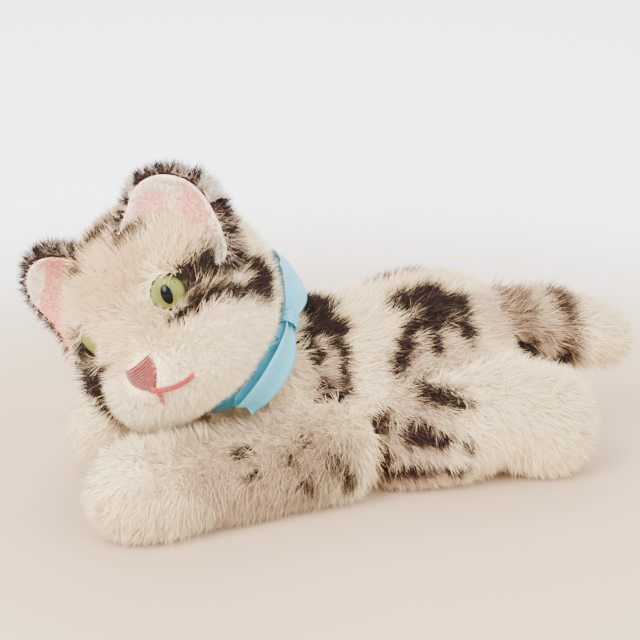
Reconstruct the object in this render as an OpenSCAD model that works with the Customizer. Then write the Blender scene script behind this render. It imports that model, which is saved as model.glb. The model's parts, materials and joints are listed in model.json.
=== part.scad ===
// Plush cat lying on its belly, head turned to its left on a disc joint.
// Frame: +Z up, the cat faces -Y, its left side is +X, z = 0 is the surface it lies on.
// Furred covers are drawn at the middle of their pile.

/* [Covers] */
// Thickness of a mohair cover with its pile
cover_wall = 3; // [2:0.5:4]
// Roundness of the soft shapes
soft_fn = 20; // [16:4:28]

/* [Torso] */
// Height of the rump above the table
rump_height = 61; // [54:1:66]
// Width of the torso at the rump
torso_width = 58; // [50:1:62]
// Half width of the belly gusset
gusset_half = 13; // [8:1:16]

/* [Head] */
// Width of the head over its cheeks
head_width = 66; // [60:1:70]
// Distance from the middle of the head to the neck joint
neck_reach = 25; // [24:0.5:27]
// Swivel of the head to its left, from straight ahead
head_turn = 53; // [30:1:60]
// How far the face looks down
head_nod = 24; // [14:1:28]
// Tilt of the neck axis above the level
neck_tilt = 39; // [36:0.5:44]

/* [Ears, whiskers and eyes] */
// Height of an ear above the head seam
ear_height = 32; // [28:1:34]
// Radius that an ear is cupped to
ear_cup = 30; // [26:1:40]
// Thickness of an ear back
ear_back_wall = 2.2; // [1.5:0.1:3]
// Thickness of an ear lining
ear_lining_wall = 1.2; // [0.8:0.1:2]
// Length of a whisker
whisker_length = 30; // [24:1:32]
// Diameter of a glass eye
eye_diameter = 11.6; // [10:0.2:13]
// Distance of each eye from the middle of the face
eye_side = 18.3; // [16:0.1:20]

/* [Neck joint] */
// Diameter of a hardboard neck disc
disc_diameter = 22; // [18:1:24]
// Thickness of a neck disc
disc_thick = 2; // [1.5:0.5:3]
// Diameter of the cotter pin
pin_diameter = 2; // [1.6:0.2:2.4]
// Running clearance of the pin in its discs, on the radius
pin_clear = 0.05; // [0.03:0.01:0.1]
// Diameter of a steel washer
washer_diameter = 9; // [8:0.5:12]
// Thickness of a steel washer
washer_thick = 0.8; // [0.6:0.1:1]
// Gap between the head and the torso at the joint
neck_gap = 0.5; // [0.4:0.1:1]

/* [Ribbon] */
// Inner radius of the ribbon around the neck
band_radius = 21.5; // [20.5:0.5:23]
// Width of the ribbon where it goes round the neck
band_width = 8; // [6:0.5:9]
// Thickness of the ribbon
ribbon_thick = 0.8; // [0.6:0.1:1.2]

/* [Hidden] */

box_middle = [1.5, 5.8, 0];
head_centre = [0, -47.5, 60];
neck_axis = [0, -cos(neck_tilt), sin(neck_tilt)];
neck_point = head_centre - neck_reach * neck_axis;
neck_stub = neck_point - 20 * neck_axis;

// A soft part is a chain of ellipsoids: [centre, radii] for each station.
torso_stations = [
    [neck_stub, [24, 24, 24]],
    [[0, 6, 27.5], [torso_width / 2 - 2, 24, 28.5]],
    [[0, 20, 28.5], [torso_width / 2 - 1, 24, 29]],
    [[0, 34, rump_height / 2], [torso_width / 2, 20, rump_height / 2]],
    [[0, 48, 29.5], [26, 16, 28.5]]
];
front_leg_left_stations = [
    [[24, -6, 16], [15, 16, 17]],
    [[26, -24, 14.5], [14, 14, 15.5]],
    [[28, -46, 13.5], [14, 14, 14.5]],
    [[31, -68, 14], [15, 17, 15]]
];
front_leg_right_stations = [
    [[-24, -6, 16], [15, 16, 17]],
    [[-23, -22, 14.5], [14, 14, 15.5]],
    [[-22, -40, 13], [14, 14, 14]],
    [[-22, -59, 13], [14.5, 16, 14]]
];
hind_leg_left_stations = [
    [[21, 20, 18.5], [16, 16, 19.5]],
    [[24, 34, 20], [16, 16, 20]],
    [[27, 52, 23], [15, 15, 16]],
    [[29, 67, 16.5], [14, 15, 17.5]]
];
hind_leg_right_stations = [for (s = hind_leg_left_stations) [[-s[0][0], s[0][1], s[0][2]], s[1]]];
tail_stations = [
    [[2, 48, 43], [10.5, 11, 10.5]],
    [[5, 60, 43.5], [11, 11, 11]],
    [[9, 74, 43], [11.5, 11, 11.5]],
    [[12, 86, 40], [11.5, 10, 11.5]],
    [[13, 93, 37.5], [9.5, 9, 10]]
];
skull_stations = [
    [[30 - head_width / 2, 1, 3], [30, 27, 32]],
    [[head_width / 2 - 30, 1, 3], [30, 27, 32]]
];
cheek_stations = [
    [[18 - head_width / 2, -6, -7], [18, 19, 18]],
    [[head_width / 2 - 18, -6, -7], [18, 19, 18]]
];
muzzle_stations = [
    [[-10, -16, -13.5], [16, 16, 14]],
    [[10, -16, -13.5], [16, 16, 14]]
];
eye_place = [eye_side, -22, 7.2];
eye_yaw = 28;
mouth_middle = [0, -15];
ear_lean = 33;
ear_turn = 8;
ear_place = [16, -1, 11];
ear_tip_radius = 15;
ear_root_radius = 7;
ear_root = [13, 8];
ear_trim = 1.5;
forehead_half = 9;
whisker_radius = 0.2;
whisker_root = [13, -31.5, -8];
pin_hole = 3.2;
pin_wire = pin_diameter - 0.2;
pin_ring = 2;
pin_room = 11;
fit_gap = 0.4;
hardware_reach = neck_gap / 2 + cover_wall + disc_thick + washer_thick;
stitch_radius = 0.6;

// A place on the neck: its distance from the neck axis, its angle from the left side
// toward the nape, and its distance from the joint toward the head.
function round_neck(r, a, z) = [r * cos(a), r * sin(a), z];

bow_angle = 45;
knot_size = 2.7;
knot_radius = band_radius + ribbon_thick + knot_size + 0.2;
loop_upper_stations = [
    [round_neck(knot_radius + 0.4, bow_angle + 9, 0), [2, 2, 3.4]],
    [round_neck(28.6, bow_angle + 27, 1.2), [3, 3, 5.2]],
    [round_neck(32, bow_angle + 49, 3), [3.2, 3.2, 5.4]],
    [round_neck(34.5, bow_angle + 61, 4.4), [2.4, 2.4, 4.6]]
];
loop_lower_stations = [
    [round_neck(knot_radius + 1.8, bow_angle - 13, 0), [1.8, 1.8, 3.2]],
    [round_neck(28.4, bow_angle - 33, -0.5), [2.8, 2.8, 4.8]],
    [round_neck(28.4, bow_angle - 55, -1), [2.8, 2.8, 5]],
    [round_neck(28, bow_angle - 68, -1), [2, 2, 4.4]]
];
function tail_strip(z_start, z_end, sweep) = [
    for (i = [0 : 4]) [
        round_neck(band_radius + ribbon_thick + 1.3, bow_angle - 14 - sweep * i / 4, z_start + (z_end - z_start) * i / 4),
        [0.9, 0.9, 3.6]
    ]
];

module blob(s, shrink, fn = soft_fn) {
    translate(s[0]) scale([for (r = s[1]) r - shrink]) sphere(r = 1, $fn = fn);
}

module chain(stations, shrink, fn = soft_fn) {
    for (i = [0 : len(stations) - 2]) hull() {
        blob(stations[i], shrink, fn);
        blob(stations[i + 1], shrink, fn);
    }
}

// Puts the origin under the middle of the whole cat's box.
module placed() {
    translate(-box_middle) children();
}

// Everything above a level, wide enough for the whole cat.
module above(z) {
    translate([-200, -200, z]) cube([400, 400, 400]);
}

// Everything on the torso's side of the neck joint, or on the head's side.
module torso_side(inset) {
    translate(neck_point - (neck_gap / 2 + inset) * neck_axis)
        rotate([90 - neck_tilt, 0, 0]) translate([-200, -200, -400]) cube([400, 400, 400]);
}

module head_side(inset) {
    translate(neck_point + (neck_gap / 2 + inset) * neck_axis)
        rotate([90 - neck_tilt, 0, 0]) translate([-200, -200, 0]) cube([400, 400, 400]);
}

// Along the neck axis: z = 0 is the neck joint, +Z points into the head.
module on_neck() {
    translate(neck_point) rotate([90 - neck_tilt, 0, 0]) children();
}

// In the head's own frame: origin in the middle of the head, face toward -Y.
module on_head() {
    translate(head_centre) rotate(a = head_turn, v = neck_axis) rotate([head_nod, 0, 0]) children();
}

module torso_shape(shrink) {
    intersection() {
        chain(torso_stations, shrink);
        above(shrink);
        torso_side(shrink);
    }
}

// The hole that the cotter pin passes through a cover by.
module pin_passage() {
    on_neck() cylinder(d = pin_hole, h = 30, center = true, $fn = 32);
}

module torso_cover() {
    difference() {
        torso_shape(0);
        torso_shape(cover_wall);
        pin_passage();
    }
}

module belly_zone() {
    translate([-gusset_half, -60, -1]) cube([2 * gusset_half, 160, 14]);
}

module half_space(side) {
    translate([side > 0 ? 0 : -200, -200, -200]) cube([200, 400, 600]);
}

module torso_panel(side) {
    difference() {
        intersection() {
            torso_cover();
            half_space(side);
        }
        belly_zone();
    }
}

module torso_panel_left() {
    color("AntiqueWhite") placed() torso_panel(1);
}

module torso_panel_right() {
    color("AntiqueWhite") placed() torso_panel(-1);
}

module belly_gusset() {
    color("Linen") placed() intersection() {
        torso_cover();
        belly_zone();
    }
}

module torso_stuffing() {
    color("Wheat") placed() difference() {
        torso_shape(cover_wall);
        neck_hardware_room();
    }
}

// Room inside the stuffing for the discs, the washers and the pin's ends.
module neck_hardware_room() {
    on_neck() {
        cylinder(d = disc_diameter + fit_gap, h = 2 * hardware_reach, center = true, $fn = 48);
        cylinder(d = pin_room, h = 36, center = true, $fn = 32);
    }
}

module limb_cover(stations, wall = cover_wall) {
    difference() {
        intersection() {
            chain(stations, 0);
            above(0);
        }
        intersection() {
            chain(stations, wall);
            above(wall);
        }
        chain(torso_stations, 0);
    }
}

module limb_stuffing(stations) {
    difference() {
        intersection() {
            chain(stations, cover_wall);
            above(cover_wall);
        }
        chain(torso_stations, 0);
    }
}

module front_leg_left_cover() {
    color("Wheat") placed() limb_cover(front_leg_left_stations);
}

module front_leg_left_stuffing() {
    color("Tan") placed() limb_stuffing(front_leg_left_stations);
}

module front_leg_right_cover() {
    color("Wheat") placed() limb_cover(front_leg_right_stations);
}

module front_leg_right_stuffing() {
    color("Tan") placed() limb_stuffing(front_leg_right_stations);
}

// The hind legs lie against the front legs' shoulders.
module hind_leg_cover(stations, front_leg) {
    difference() {
        limb_cover(stations);
        chain(front_leg, 0);
    }
}

module hind_leg_stuffing(stations, front_leg) {
    difference() {
        limb_stuffing(stations);
        chain(front_leg, 0);
    }
}

module hind_leg_left_cover() {
    color("Cornsilk") placed() hind_leg_cover(hind_leg_left_stations, front_leg_left_stations);
}

module hind_leg_left_stuffing() {
    color("Tan") placed() hind_leg_stuffing(hind_leg_left_stations, front_leg_left_stations);
}

module hind_leg_right_cover() {
    color("Cornsilk") placed() hind_leg_cover(hind_leg_right_stations, front_leg_right_stations);
}

module hind_leg_right_stuffing() {
    color("Tan") placed() hind_leg_stuffing(hind_leg_right_stations, front_leg_right_stations);
}

module tail_cover() {
    color("Bisque") placed() difference() {
        limb_cover(tail_stations);
        chain(hind_leg_left_stations, 0);
        chain(hind_leg_right_stations, 0);
    }
}

module tail_stuffing() {
    color("Tan") placed() limb_stuffing(tail_stations);
}

// The head's outside, in the head's own frame.
module head_shape(shrink) {
    hull() {
        for (s = skull_stations) blob(s, shrink);
    }
    hull() {
        for (s = cheek_stations) blob(s, shrink);
    }
    hull() {
        for (s = muzzle_stations) blob(s, shrink);
    }
    for (k = [0, 1]) hull() {
        blob(skull_stations[k], shrink);
        blob(cheek_stations[k], shrink);
    }
    for (k = [0, 1]) hull() {
        blob(cheek_stations[k], shrink);
        blob(muzzle_stations[k], shrink);
    }
    hull() {
        blob(muzzle_stations[0], shrink + 3);
        blob(muzzle_stations[1], shrink + 3);
        blob([[0, -8, 8], [12, 14, 12]], shrink);
    }
}

// The ribbon presses the pile flat where it goes round the neck.
module ribbon_groove(shrink) {
    on_neck() difference() {
        cylinder(r = 60, h = band_width + 1.4, center = true, $fn = 64);
        cylinder(r = band_radius - 0.6 - shrink, h = band_width + 4, center = true, $fn = 64);
    }
}

module head_solid(shrink) {
    difference() {
        intersection() {
            on_head() head_shape(shrink);
            head_side(shrink);
        }
        ribbon_groove(shrink);
    }
}

module head_cover() {
    difference() {
        head_solid(0);
        head_solid(cover_wall);
        pin_passage();
        on_head() for (side = [-1, 1]) eye_room(side);
    }
}

module muzzle_zone() {
    on_head() translate([0, -60, -12]) rotate([-90, 0, 0]) scale([27, 17, 1]) cylinder(r = 1, h = 50, $fn = 48);
}

module gusset_zone() {
    on_head() translate([-forehead_half, -60, -2]) cube([2 * forehead_half, 120, 60]);
}

module head_half(side) {
    on_head() translate([side > 0 ? 0 : -100, -100, -100]) cube([100, 200, 200]);
}

module head_panel(side) {
    difference() {
        intersection() {
            head_cover();
            head_half(side);
        }
        muzzle_zone();
        gusset_zone();
    }
}

module head_panel_left() {
    color("BurlyWood") placed() head_panel(1);
}

module head_panel_right() {
    color("BurlyWood") placed() head_panel(-1);
}

module forehead_gusset() {
    color("Tan") placed() difference() {
        intersection() {
            head_cover();
            gusset_zone();
        }
        muzzle_zone();
    }
}

module muzzle_panel() {
    color("Ivory") placed() intersection() {
        head_cover();
        muzzle_zone();
    }
}

module head_stuffing() {
    color("Wheat") placed() difference() {
        head_solid(cover_wall);
        neck_hardware_room();
        on_head() for (side = [-1, 1]) eye_room(side);
    }
}

// Places an ear's frame: x across the ear, z toward its tip, -y its lining side.
module on_ear(side) {
    on_head() translate([side * ear_place[0], ear_place[1], ear_place[2]])
        rotate([0, side * ear_lean, 0]) rotate([0, 0, side * ear_turn]) children();
}

module ear_outline() {
    hull() {
        translate([0, ear_height - ear_tip_radius]) circle(r = ear_tip_radius, $fn = 40);
        for (side = [-1, 1]) translate([side * ear_root[0], ear_root[1]]) circle(r = ear_root_radius, $fn = 20);
    }
}

// A layer of the cupped ear, between two radii of its cup.
module ear_layer(side, r_outer, r_inner, trim) {
    difference() {
        on_ear(side) intersection() {
            translate([0, -ear_cup, ear_height / 2]) difference() {
                sphere(r = r_outer, $fn = 48);
                sphere(r = r_inner, $fn = 48);
            }
            rotate([90, 0, 0]) translate([0, 0, -20]) linear_extrude(40) offset(delta = -trim) ear_outline();
        }
        on_head() head_shape(0);
    }
}

module ear_back(side) {
    ear_layer(side, ear_cup, ear_cup - ear_back_wall, 0);
}

module ear_lining(side) {
    ear_layer(side, ear_cup - ear_back_wall, ear_cup - ear_back_wall - ear_lining_wall, ear_trim);
}

module ear_left_back() {
    color("DimGray") placed() ear_back(1);
}

module ear_left_lining() {
    color("Pink") placed() ear_lining(1);
}

module ear_right_back() {
    color("DimGray") placed() ear_back(-1);
}

module ear_right_lining() {
    color("Pink") placed() ear_lining(-1);
}

// An eye's frame: +Z points out of the eye.
module on_eye(side) {
    translate([side * eye_place[0], eye_place[1], eye_place[2]])
        rotate([0, 0, side * eye_yaw]) rotate([90, 0, 0]) children();
}

module eye_room(side) {
    on_eye(side) union() {
        translate([0, 0, -1]) cylinder(d = eye_diameter + fit_gap, h = 20, $fn = 48);
        translate([0, 0, -8.6]) cylinder(r = 2.9, h = 9, $fn = 32);
    }
}

module eye(side) {
    on_head() on_eye(side) rotate_extrude($fn = 64) intersection() {
        union() {
            translate([0, -0.6]) square([eye_diameter / 2, 1.6]);
            translate([0, 1]) circle(d = eye_diameter, $fn = 96);
        }
        translate([0, -0.6]) square([eye_diameter, 7]);
    }
}

module eye_shank(side) {
    on_head() on_eye(side) {
        translate([0, 0, -3.6]) cylinder(r = 0.5, h = 3, $fn = 24);
        translate([0, 0, -5.6]) rotate([90, 0, 0]) rotate_extrude($fn = 48) translate([2, 0]) circle(r = 0.5, $fn = 24);
    }
}

module eye_left() {
    color("YellowGreen") placed() eye(1);
}

module eye_right() {
    color("YellowGreen") placed() eye(-1);
}

module eye_left_shank() {
    color("Silver") placed() eye_shank(1);
}

module eye_right_shank() {
    color("Silver") placed() eye_shank(-1);
}

// A thin layer on the face, as thick as given, where a flat outline falls on it from the front.
module on_face(thick) {
    on_head() intersection() {
        difference() {
            head_shape(-thick);
            head_shape(0);
        }
        rotate([90, 0, 0]) linear_extrude(60) children();
    }
}

module nose_stitching() {
    color("Salmon") placed() on_face(1.2) hull() {
        for (x = [-4.5, 4.5]) translate([x, -4.4]) circle(r = 0.8, $fn = 16);
        translate([0, -9.6]) circle(r = 0.8, $fn = 16);
    }
}

module stitch(a, b) {
    hull() for (p = [a, b]) translate(p) circle(r = stitch_radius, $fn = 16);
}

module mouth_stitching() {
    color("Tomato") placed() on_face(0.8) {
        stitch([0, -11.2], mouth_middle);
        stitch(mouth_middle, [8.5, -17.5]);
        stitch(mouth_middle, [-7.5, -18.5]);
    }
}

// Four bristles that fan out from the muzzle and end at its cover.
module whisker_set(side, lean, sweep) {
    on_head() difference() {
        for (i = [0 : 3]) translate([side * whisker_root[0], whisker_root[1], whisker_root[2] - 1.6 * i])
            rotate([0, side * (lean + 7 * i), side * sweep]) cylinder(r = whisker_radius, h = whisker_length, $fn = 16);
        head_shape(0);
    }
}

module whiskers_left() {
    color("Ivory") placed() whisker_set(1, 62, 16);
}

module whiskers_right() {
    color("Ivory") placed() whisker_set(-1, 75, 0);
}

// The two discs with their washers face each other across the neck gap.
module disc(end) {
    start = neck_gap / 2 + cover_wall;
    on_neck() translate([0, 0, end > 0 ? start : -start - disc_thick]) difference() {
        cylinder(d = disc_diameter, h = disc_thick, $fn = 96);
        translate([0, 0, -1]) cylinder(r = pin_diameter / 2 + pin_clear, h = disc_thick + 2, $fn = 48);
    }
}

module washer(end) {
    start = neck_gap / 2 + cover_wall + disc_thick;
    on_neck() translate([0, 0, end > 0 ? start : -start - washer_thick]) difference() {
        cylinder(d = washer_diameter, h = washer_thick, $fn = 64);
        translate([0, 0, -1]) cylinder(r = pin_diameter / 2 + pin_clear, h = washer_thick + 2, $fn = 48);
    }
}

module neck_disc_head() {
    color("SaddleBrown") placed() disc(1);
}

module neck_disc_body() {
    color("SaddleBrown") placed() disc(-1);
}

module neck_washer_head() {
    color("Silver") placed() washer(1);
}

module neck_washer_body() {
    color("Silver") placed() washer(-1);
}

// The pin's eye is in the head, its two legs are rolled back in the torso.
module neck_cotter_pin() {
    eye_level = hardware_reach + pin_ring + pin_wire / 2 + 0.1;
    roll_level = -hardware_reach - pin_ring;
    color("Gray") placed() on_neck() {
        translate([0, 0, roll_level]) cylinder(d = pin_diameter, h = eye_level - pin_ring - roll_level, $fn = 48);
        translate([0, 0, eye_level]) rotate([90, 0, 0]) rotate_extrude($fn = 48)
            translate([pin_ring, 0]) circle(d = pin_wire, $fn = 24);
        for (side = [-1, 1]) translate([side * pin_ring, 0, roll_level]) rotate([90, 0, 0])
            rotate_extrude(angle = 180, start = 180, $fn = 48) translate([pin_ring, 0]) circle(d = pin_wire, $fn = 24);
    }
}

module ribbon_band() {
    color("LightSkyBlue") placed() on_neck() difference() {
        cylinder(r = band_radius + ribbon_thick, h = band_width, center = true, $fn = 96);
        cylinder(r = band_radius, h = band_width + 2, center = true, $fn = 96);
    }
}

module bow_piece(stations) {
    on_neck() chain(stations, 0, 16);
}

module knot_shape() {
    on_neck() hull() {
        for (a = [-4, 4]) translate(round_neck(knot_radius, bow_angle + a, 0)) sphere(r = knot_size, $fn = 20);
    }
}

module ribbon_knot() {
    color("SkyBlue") placed() knot_shape();
}

module ribbon_loop_upper() {
    color("LightSkyBlue") placed() difference() {
        bow_piece(loop_upper_stations);
        chain(torso_stations, 0);
        knot_shape();
    }
}

module ribbon_loop_lower() {
    color("LightSkyBlue") placed() difference() {
        bow_piece(loop_lower_stations);
        chain(torso_stations, 0);
        knot_shape();
    }
}

module ribbon_tails() {
    color("SkyBlue") placed() difference() {
        union() {
            bow_piece(tail_strip(0.3, 0.5, 78));
            translate([0.2, 0, 0]) bow_piece(tail_strip(-1, -3, 64));
        }
        chain(torso_stations, 0);
        knot_shape();
        bow_piece(loop_lower_stations);
    }
}

torso_panel_left();
torso_panel_right();
belly_gusset();
torso_stuffing();
front_leg_left_cover();
front_leg_left_stuffing();
front_leg_right_cover();
front_leg_right_stuffing();
hind_leg_left_cover();
hind_leg_left_stuffing();
hind_leg_right_cover();
hind_leg_right_stuffing();
tail_cover();
tail_stuffing();
head_panel_left();
head_panel_right();
forehead_gusset();
muzzle_panel();
head_stuffing();
ear_left_back();
ear_left_lining();
ear_right_back();
ear_right_lining();
eye_left();
eye_right();
eye_left_shank();
eye_right_shank();
nose_stitching();
mouth_stitching();
whiskers_left();
whiskers_right();
neck_disc_head();
neck_disc_body();
neck_washer_head();
neck_washer_body();
neck_cotter_pin();
ribbon_band();
ribbon_knot();
ribbon_loop_upper();
ribbon_loop_lower();
ribbon_tails();
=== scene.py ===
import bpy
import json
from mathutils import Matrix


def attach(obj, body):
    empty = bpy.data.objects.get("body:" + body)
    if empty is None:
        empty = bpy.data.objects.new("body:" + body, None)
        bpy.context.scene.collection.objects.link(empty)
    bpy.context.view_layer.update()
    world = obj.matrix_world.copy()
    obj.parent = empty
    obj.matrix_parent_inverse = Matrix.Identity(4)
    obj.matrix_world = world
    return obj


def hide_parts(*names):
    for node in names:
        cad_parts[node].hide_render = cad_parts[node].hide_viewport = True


bl_info = {
    "name": "Plush cat",
    "version": (1, 0, 0),
    "blender": (4, 5, 0),
    "location": "View3D > Sidebar > Plush cat",
    "description": "Makes the looks of a lying mohair cat with a swivelling head around its packed frame",
    "category": "Object",
}

import json
import math
import random
from array import array

import bmesh
import bpy
from bpy.props import FloatProperty, FloatVectorProperty, IntProperty, PointerProperty
from mathutils import Matrix, Vector, noise
from mathutils.bvhtree import BVHTree

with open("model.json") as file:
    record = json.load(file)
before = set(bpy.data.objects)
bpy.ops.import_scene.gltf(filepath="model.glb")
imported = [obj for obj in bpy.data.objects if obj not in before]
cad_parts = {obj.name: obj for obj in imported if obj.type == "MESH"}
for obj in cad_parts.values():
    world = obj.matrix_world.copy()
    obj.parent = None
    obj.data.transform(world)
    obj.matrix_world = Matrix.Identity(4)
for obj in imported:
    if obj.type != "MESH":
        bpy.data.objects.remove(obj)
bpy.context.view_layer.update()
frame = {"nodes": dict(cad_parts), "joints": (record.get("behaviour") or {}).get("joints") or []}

MM = 0.001
HINGE = frame["joints"][0]
NECK = Vector(HINGE["pos_m"])
NECK_AXIS = Vector(HINGE["axis"]).normalized()
MIDDLE_X = NECK.x
# The head's own frame stands this far up the neck, and is turned and nodded by these angles in degrees.
NECK_REACH = 25 * MM
HEAD_TURN = 53
HEAD_NOD = 24

HEAD_FRAME = (
    Matrix.Translation(NECK + NECK_AXIS * NECK_REACH)
    @ Matrix.Rotation(math.radians(HEAD_TURN), 4, NECK_AXIS)
    @ Matrix.Rotation(math.radians(HEAD_NOD), 4, "X")
)
NECK_ACROSS = Vector((1, 0, 0))
NECK_BACK = NECK_AXIS.cross(NECK_ACROSS)
NECK_FRAME = Matrix.Translation(NECK) @ Matrix((NECK_ACROSS, NECK_BACK, NECK_AXIS)).transposed().to_4x4()

SIDES = ((1, "left"), (-1, "right"))
# The pile grows from skins that lie under the CAD covers, so that its tips stand this far past them.
PILE_PROUD = 3.0 * MM
# No hair reaches below the gap, and no skin below the other height.
FLOOR_GAP = 0.1 * MM
SKIN_FLOOR = 0.8 * MM
# Round the neck axis the head and the torso are bare where they meet.
HEAD_NECK_RADIUS = 24 * MM
TORSO_NECK_RADIUS = 26 * MM
# The eyes' places are in the head's frame, and their angles are in degrees.
EYE_PLACE = Vector((18.3, -22, 7.2)) * MM
EYE_YAW = 28
EYE_RADIUS = 5.8 * MM
EYE_ROLL = 17
EYE_SUNK = {1: 2.2 * MM, -1: 3.6 * MM}
EAR_VOXEL = 0.7 * MM
VIEW_WIDTH = 204.8 * MM
VIEW_DISTANCE = 0.75
VIEW_AZIMUTH = 70
VIEW_ELEVATION = 20


def rgb(red, green, blue):
    """A display colour from 0 to 255 as scene-linear values."""
    return tuple(
        c / 255 / 12.92 if c <= 10 else ((c / 255 + 0.055) / 1.055) ** 2.4 for c in (red, green, blue)
    )


def colour(name, description, default):
    """A colour that a user can change."""
    return FloatVectorProperty(
        name=name, description=description, default=default, subtype="COLOR", size=3, min=0, max=1
    )


def length(name, description, millimetres):
    """A length that a user can change."""
    return FloatProperty(
        name=name, description=description, default=millimetres * MM, subtype="DISTANCE", unit="LENGTH", min=0
    )


class PlushCatSizes(bpy.types.PropertyGroup):
    """Sizes of the cat's pile, thread, whiskers and ribbon"""

    body_pile: length("Body pile", "Length of the mohair on the torso, legs and tail", 7.0)
    head_pile: length("Head pile", "Length of the mohair on the head", 6.4)
    muzzle_pile: length("Muzzle pile", "Length of the dense pile on the muzzle", 3.4)
    ear_pile: length("Ear pile", "Length of the brush-like pile on the ear backs", 4.6)
    lining_pile: length("Lining pile", "Length of the sheared pile in the ears", 1.5)
    lock_radius: length("Hair radius", "Radius of a hair at its root, for a 6 mm hair", 0.13)
    hairs: IntProperty(
        name="Hairs", description="Hairs on a square centimetre of the body", default=560, min=20
    )
    skin_voxel: length("Skin grid", "Grid that the skins are remeshed on", 1.6)
    ribbon_width: length("Ribbon width", "Width of the satin ribbon", 11)
    ribbon_thickness: length("Ribbon thickness", "Thickness of the satin ribbon", 0.28)
    thread: length("Thread", "Radius of the embroidery thread", 0.3)
    whisker: length("Whisker", "Radius of a whisker at its root", 0.17)
    whisker_length: length("Whisker length", "Length of a whisker", 30)


class PlushCatColours(bpy.types.PropertyGroup):
    """Colours of the cat and of the floor it lies on"""

    cream: colour("Cream", "Cream mohair", rgb(255, 230, 182))
    tan: colour("Tan", "Tan mohair on the legs, back and tail", rgb(196, 164, 132))
    apricot: colour("Apricot", "Apricot mohair on the forehead", rgb(226, 184, 136))
    stripe: colour("Stripe", "Airbrushed stripes", rgb(40, 28, 27))
    muzzle: colour("Muzzle", "Pile of the muzzle", rgb(255, 236, 192))
    muzzle_warm: colour("Muzzle shade", "Warmer middle of the muzzle", rgb(240, 202, 152))
    ear_back: colour("Ear back", "Salt and pepper pile of the ear backs", rgb(226, 208, 186))
    ear_cream: colour("Ear cream", "Cream of the ear linings", rgb(252, 230, 200))
    # On the right ear this pink also stands in for painted shade over the lower lining.
    ear_pink: colour("Ear pink", "Airbrushed pink of the ear linings", rgb(240, 160, 138))
    nose: colour("Nose", "Satin stitch of the nose", rgb(116, 16, 10))
    mouth: colour("Mouth", "Thread of the mouth", rgb(150, 6, 8))
    iris: colour("Iris", "Green of the glass eyes", rgb(84, 88, 34))
    iris_light: colour("Iris light", "Lighter green near the rim", rgb(112, 114, 52))
    ribbon: colour("Ribbon", "Light blue satin", rgb(66, 160, 182))
    whisker: colour("Whisker", "Nylon bristle", rgb(150, 106, 50))
    floor: colour("Floor", "Floor close to the cat", rgb(186, 158, 128))
    far_floor: colour("Far floor", "Floor further off", rgb(240, 241, 243))


# ---------------------------------------------------------------- materials


def sizes():
    """The sizes as the user has set them."""
    return bpy.context.scene.plush_cat_sizes


def colours():
    """The colours as the user has set them."""
    return bpy.context.scene.plush_cat_colours


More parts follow.
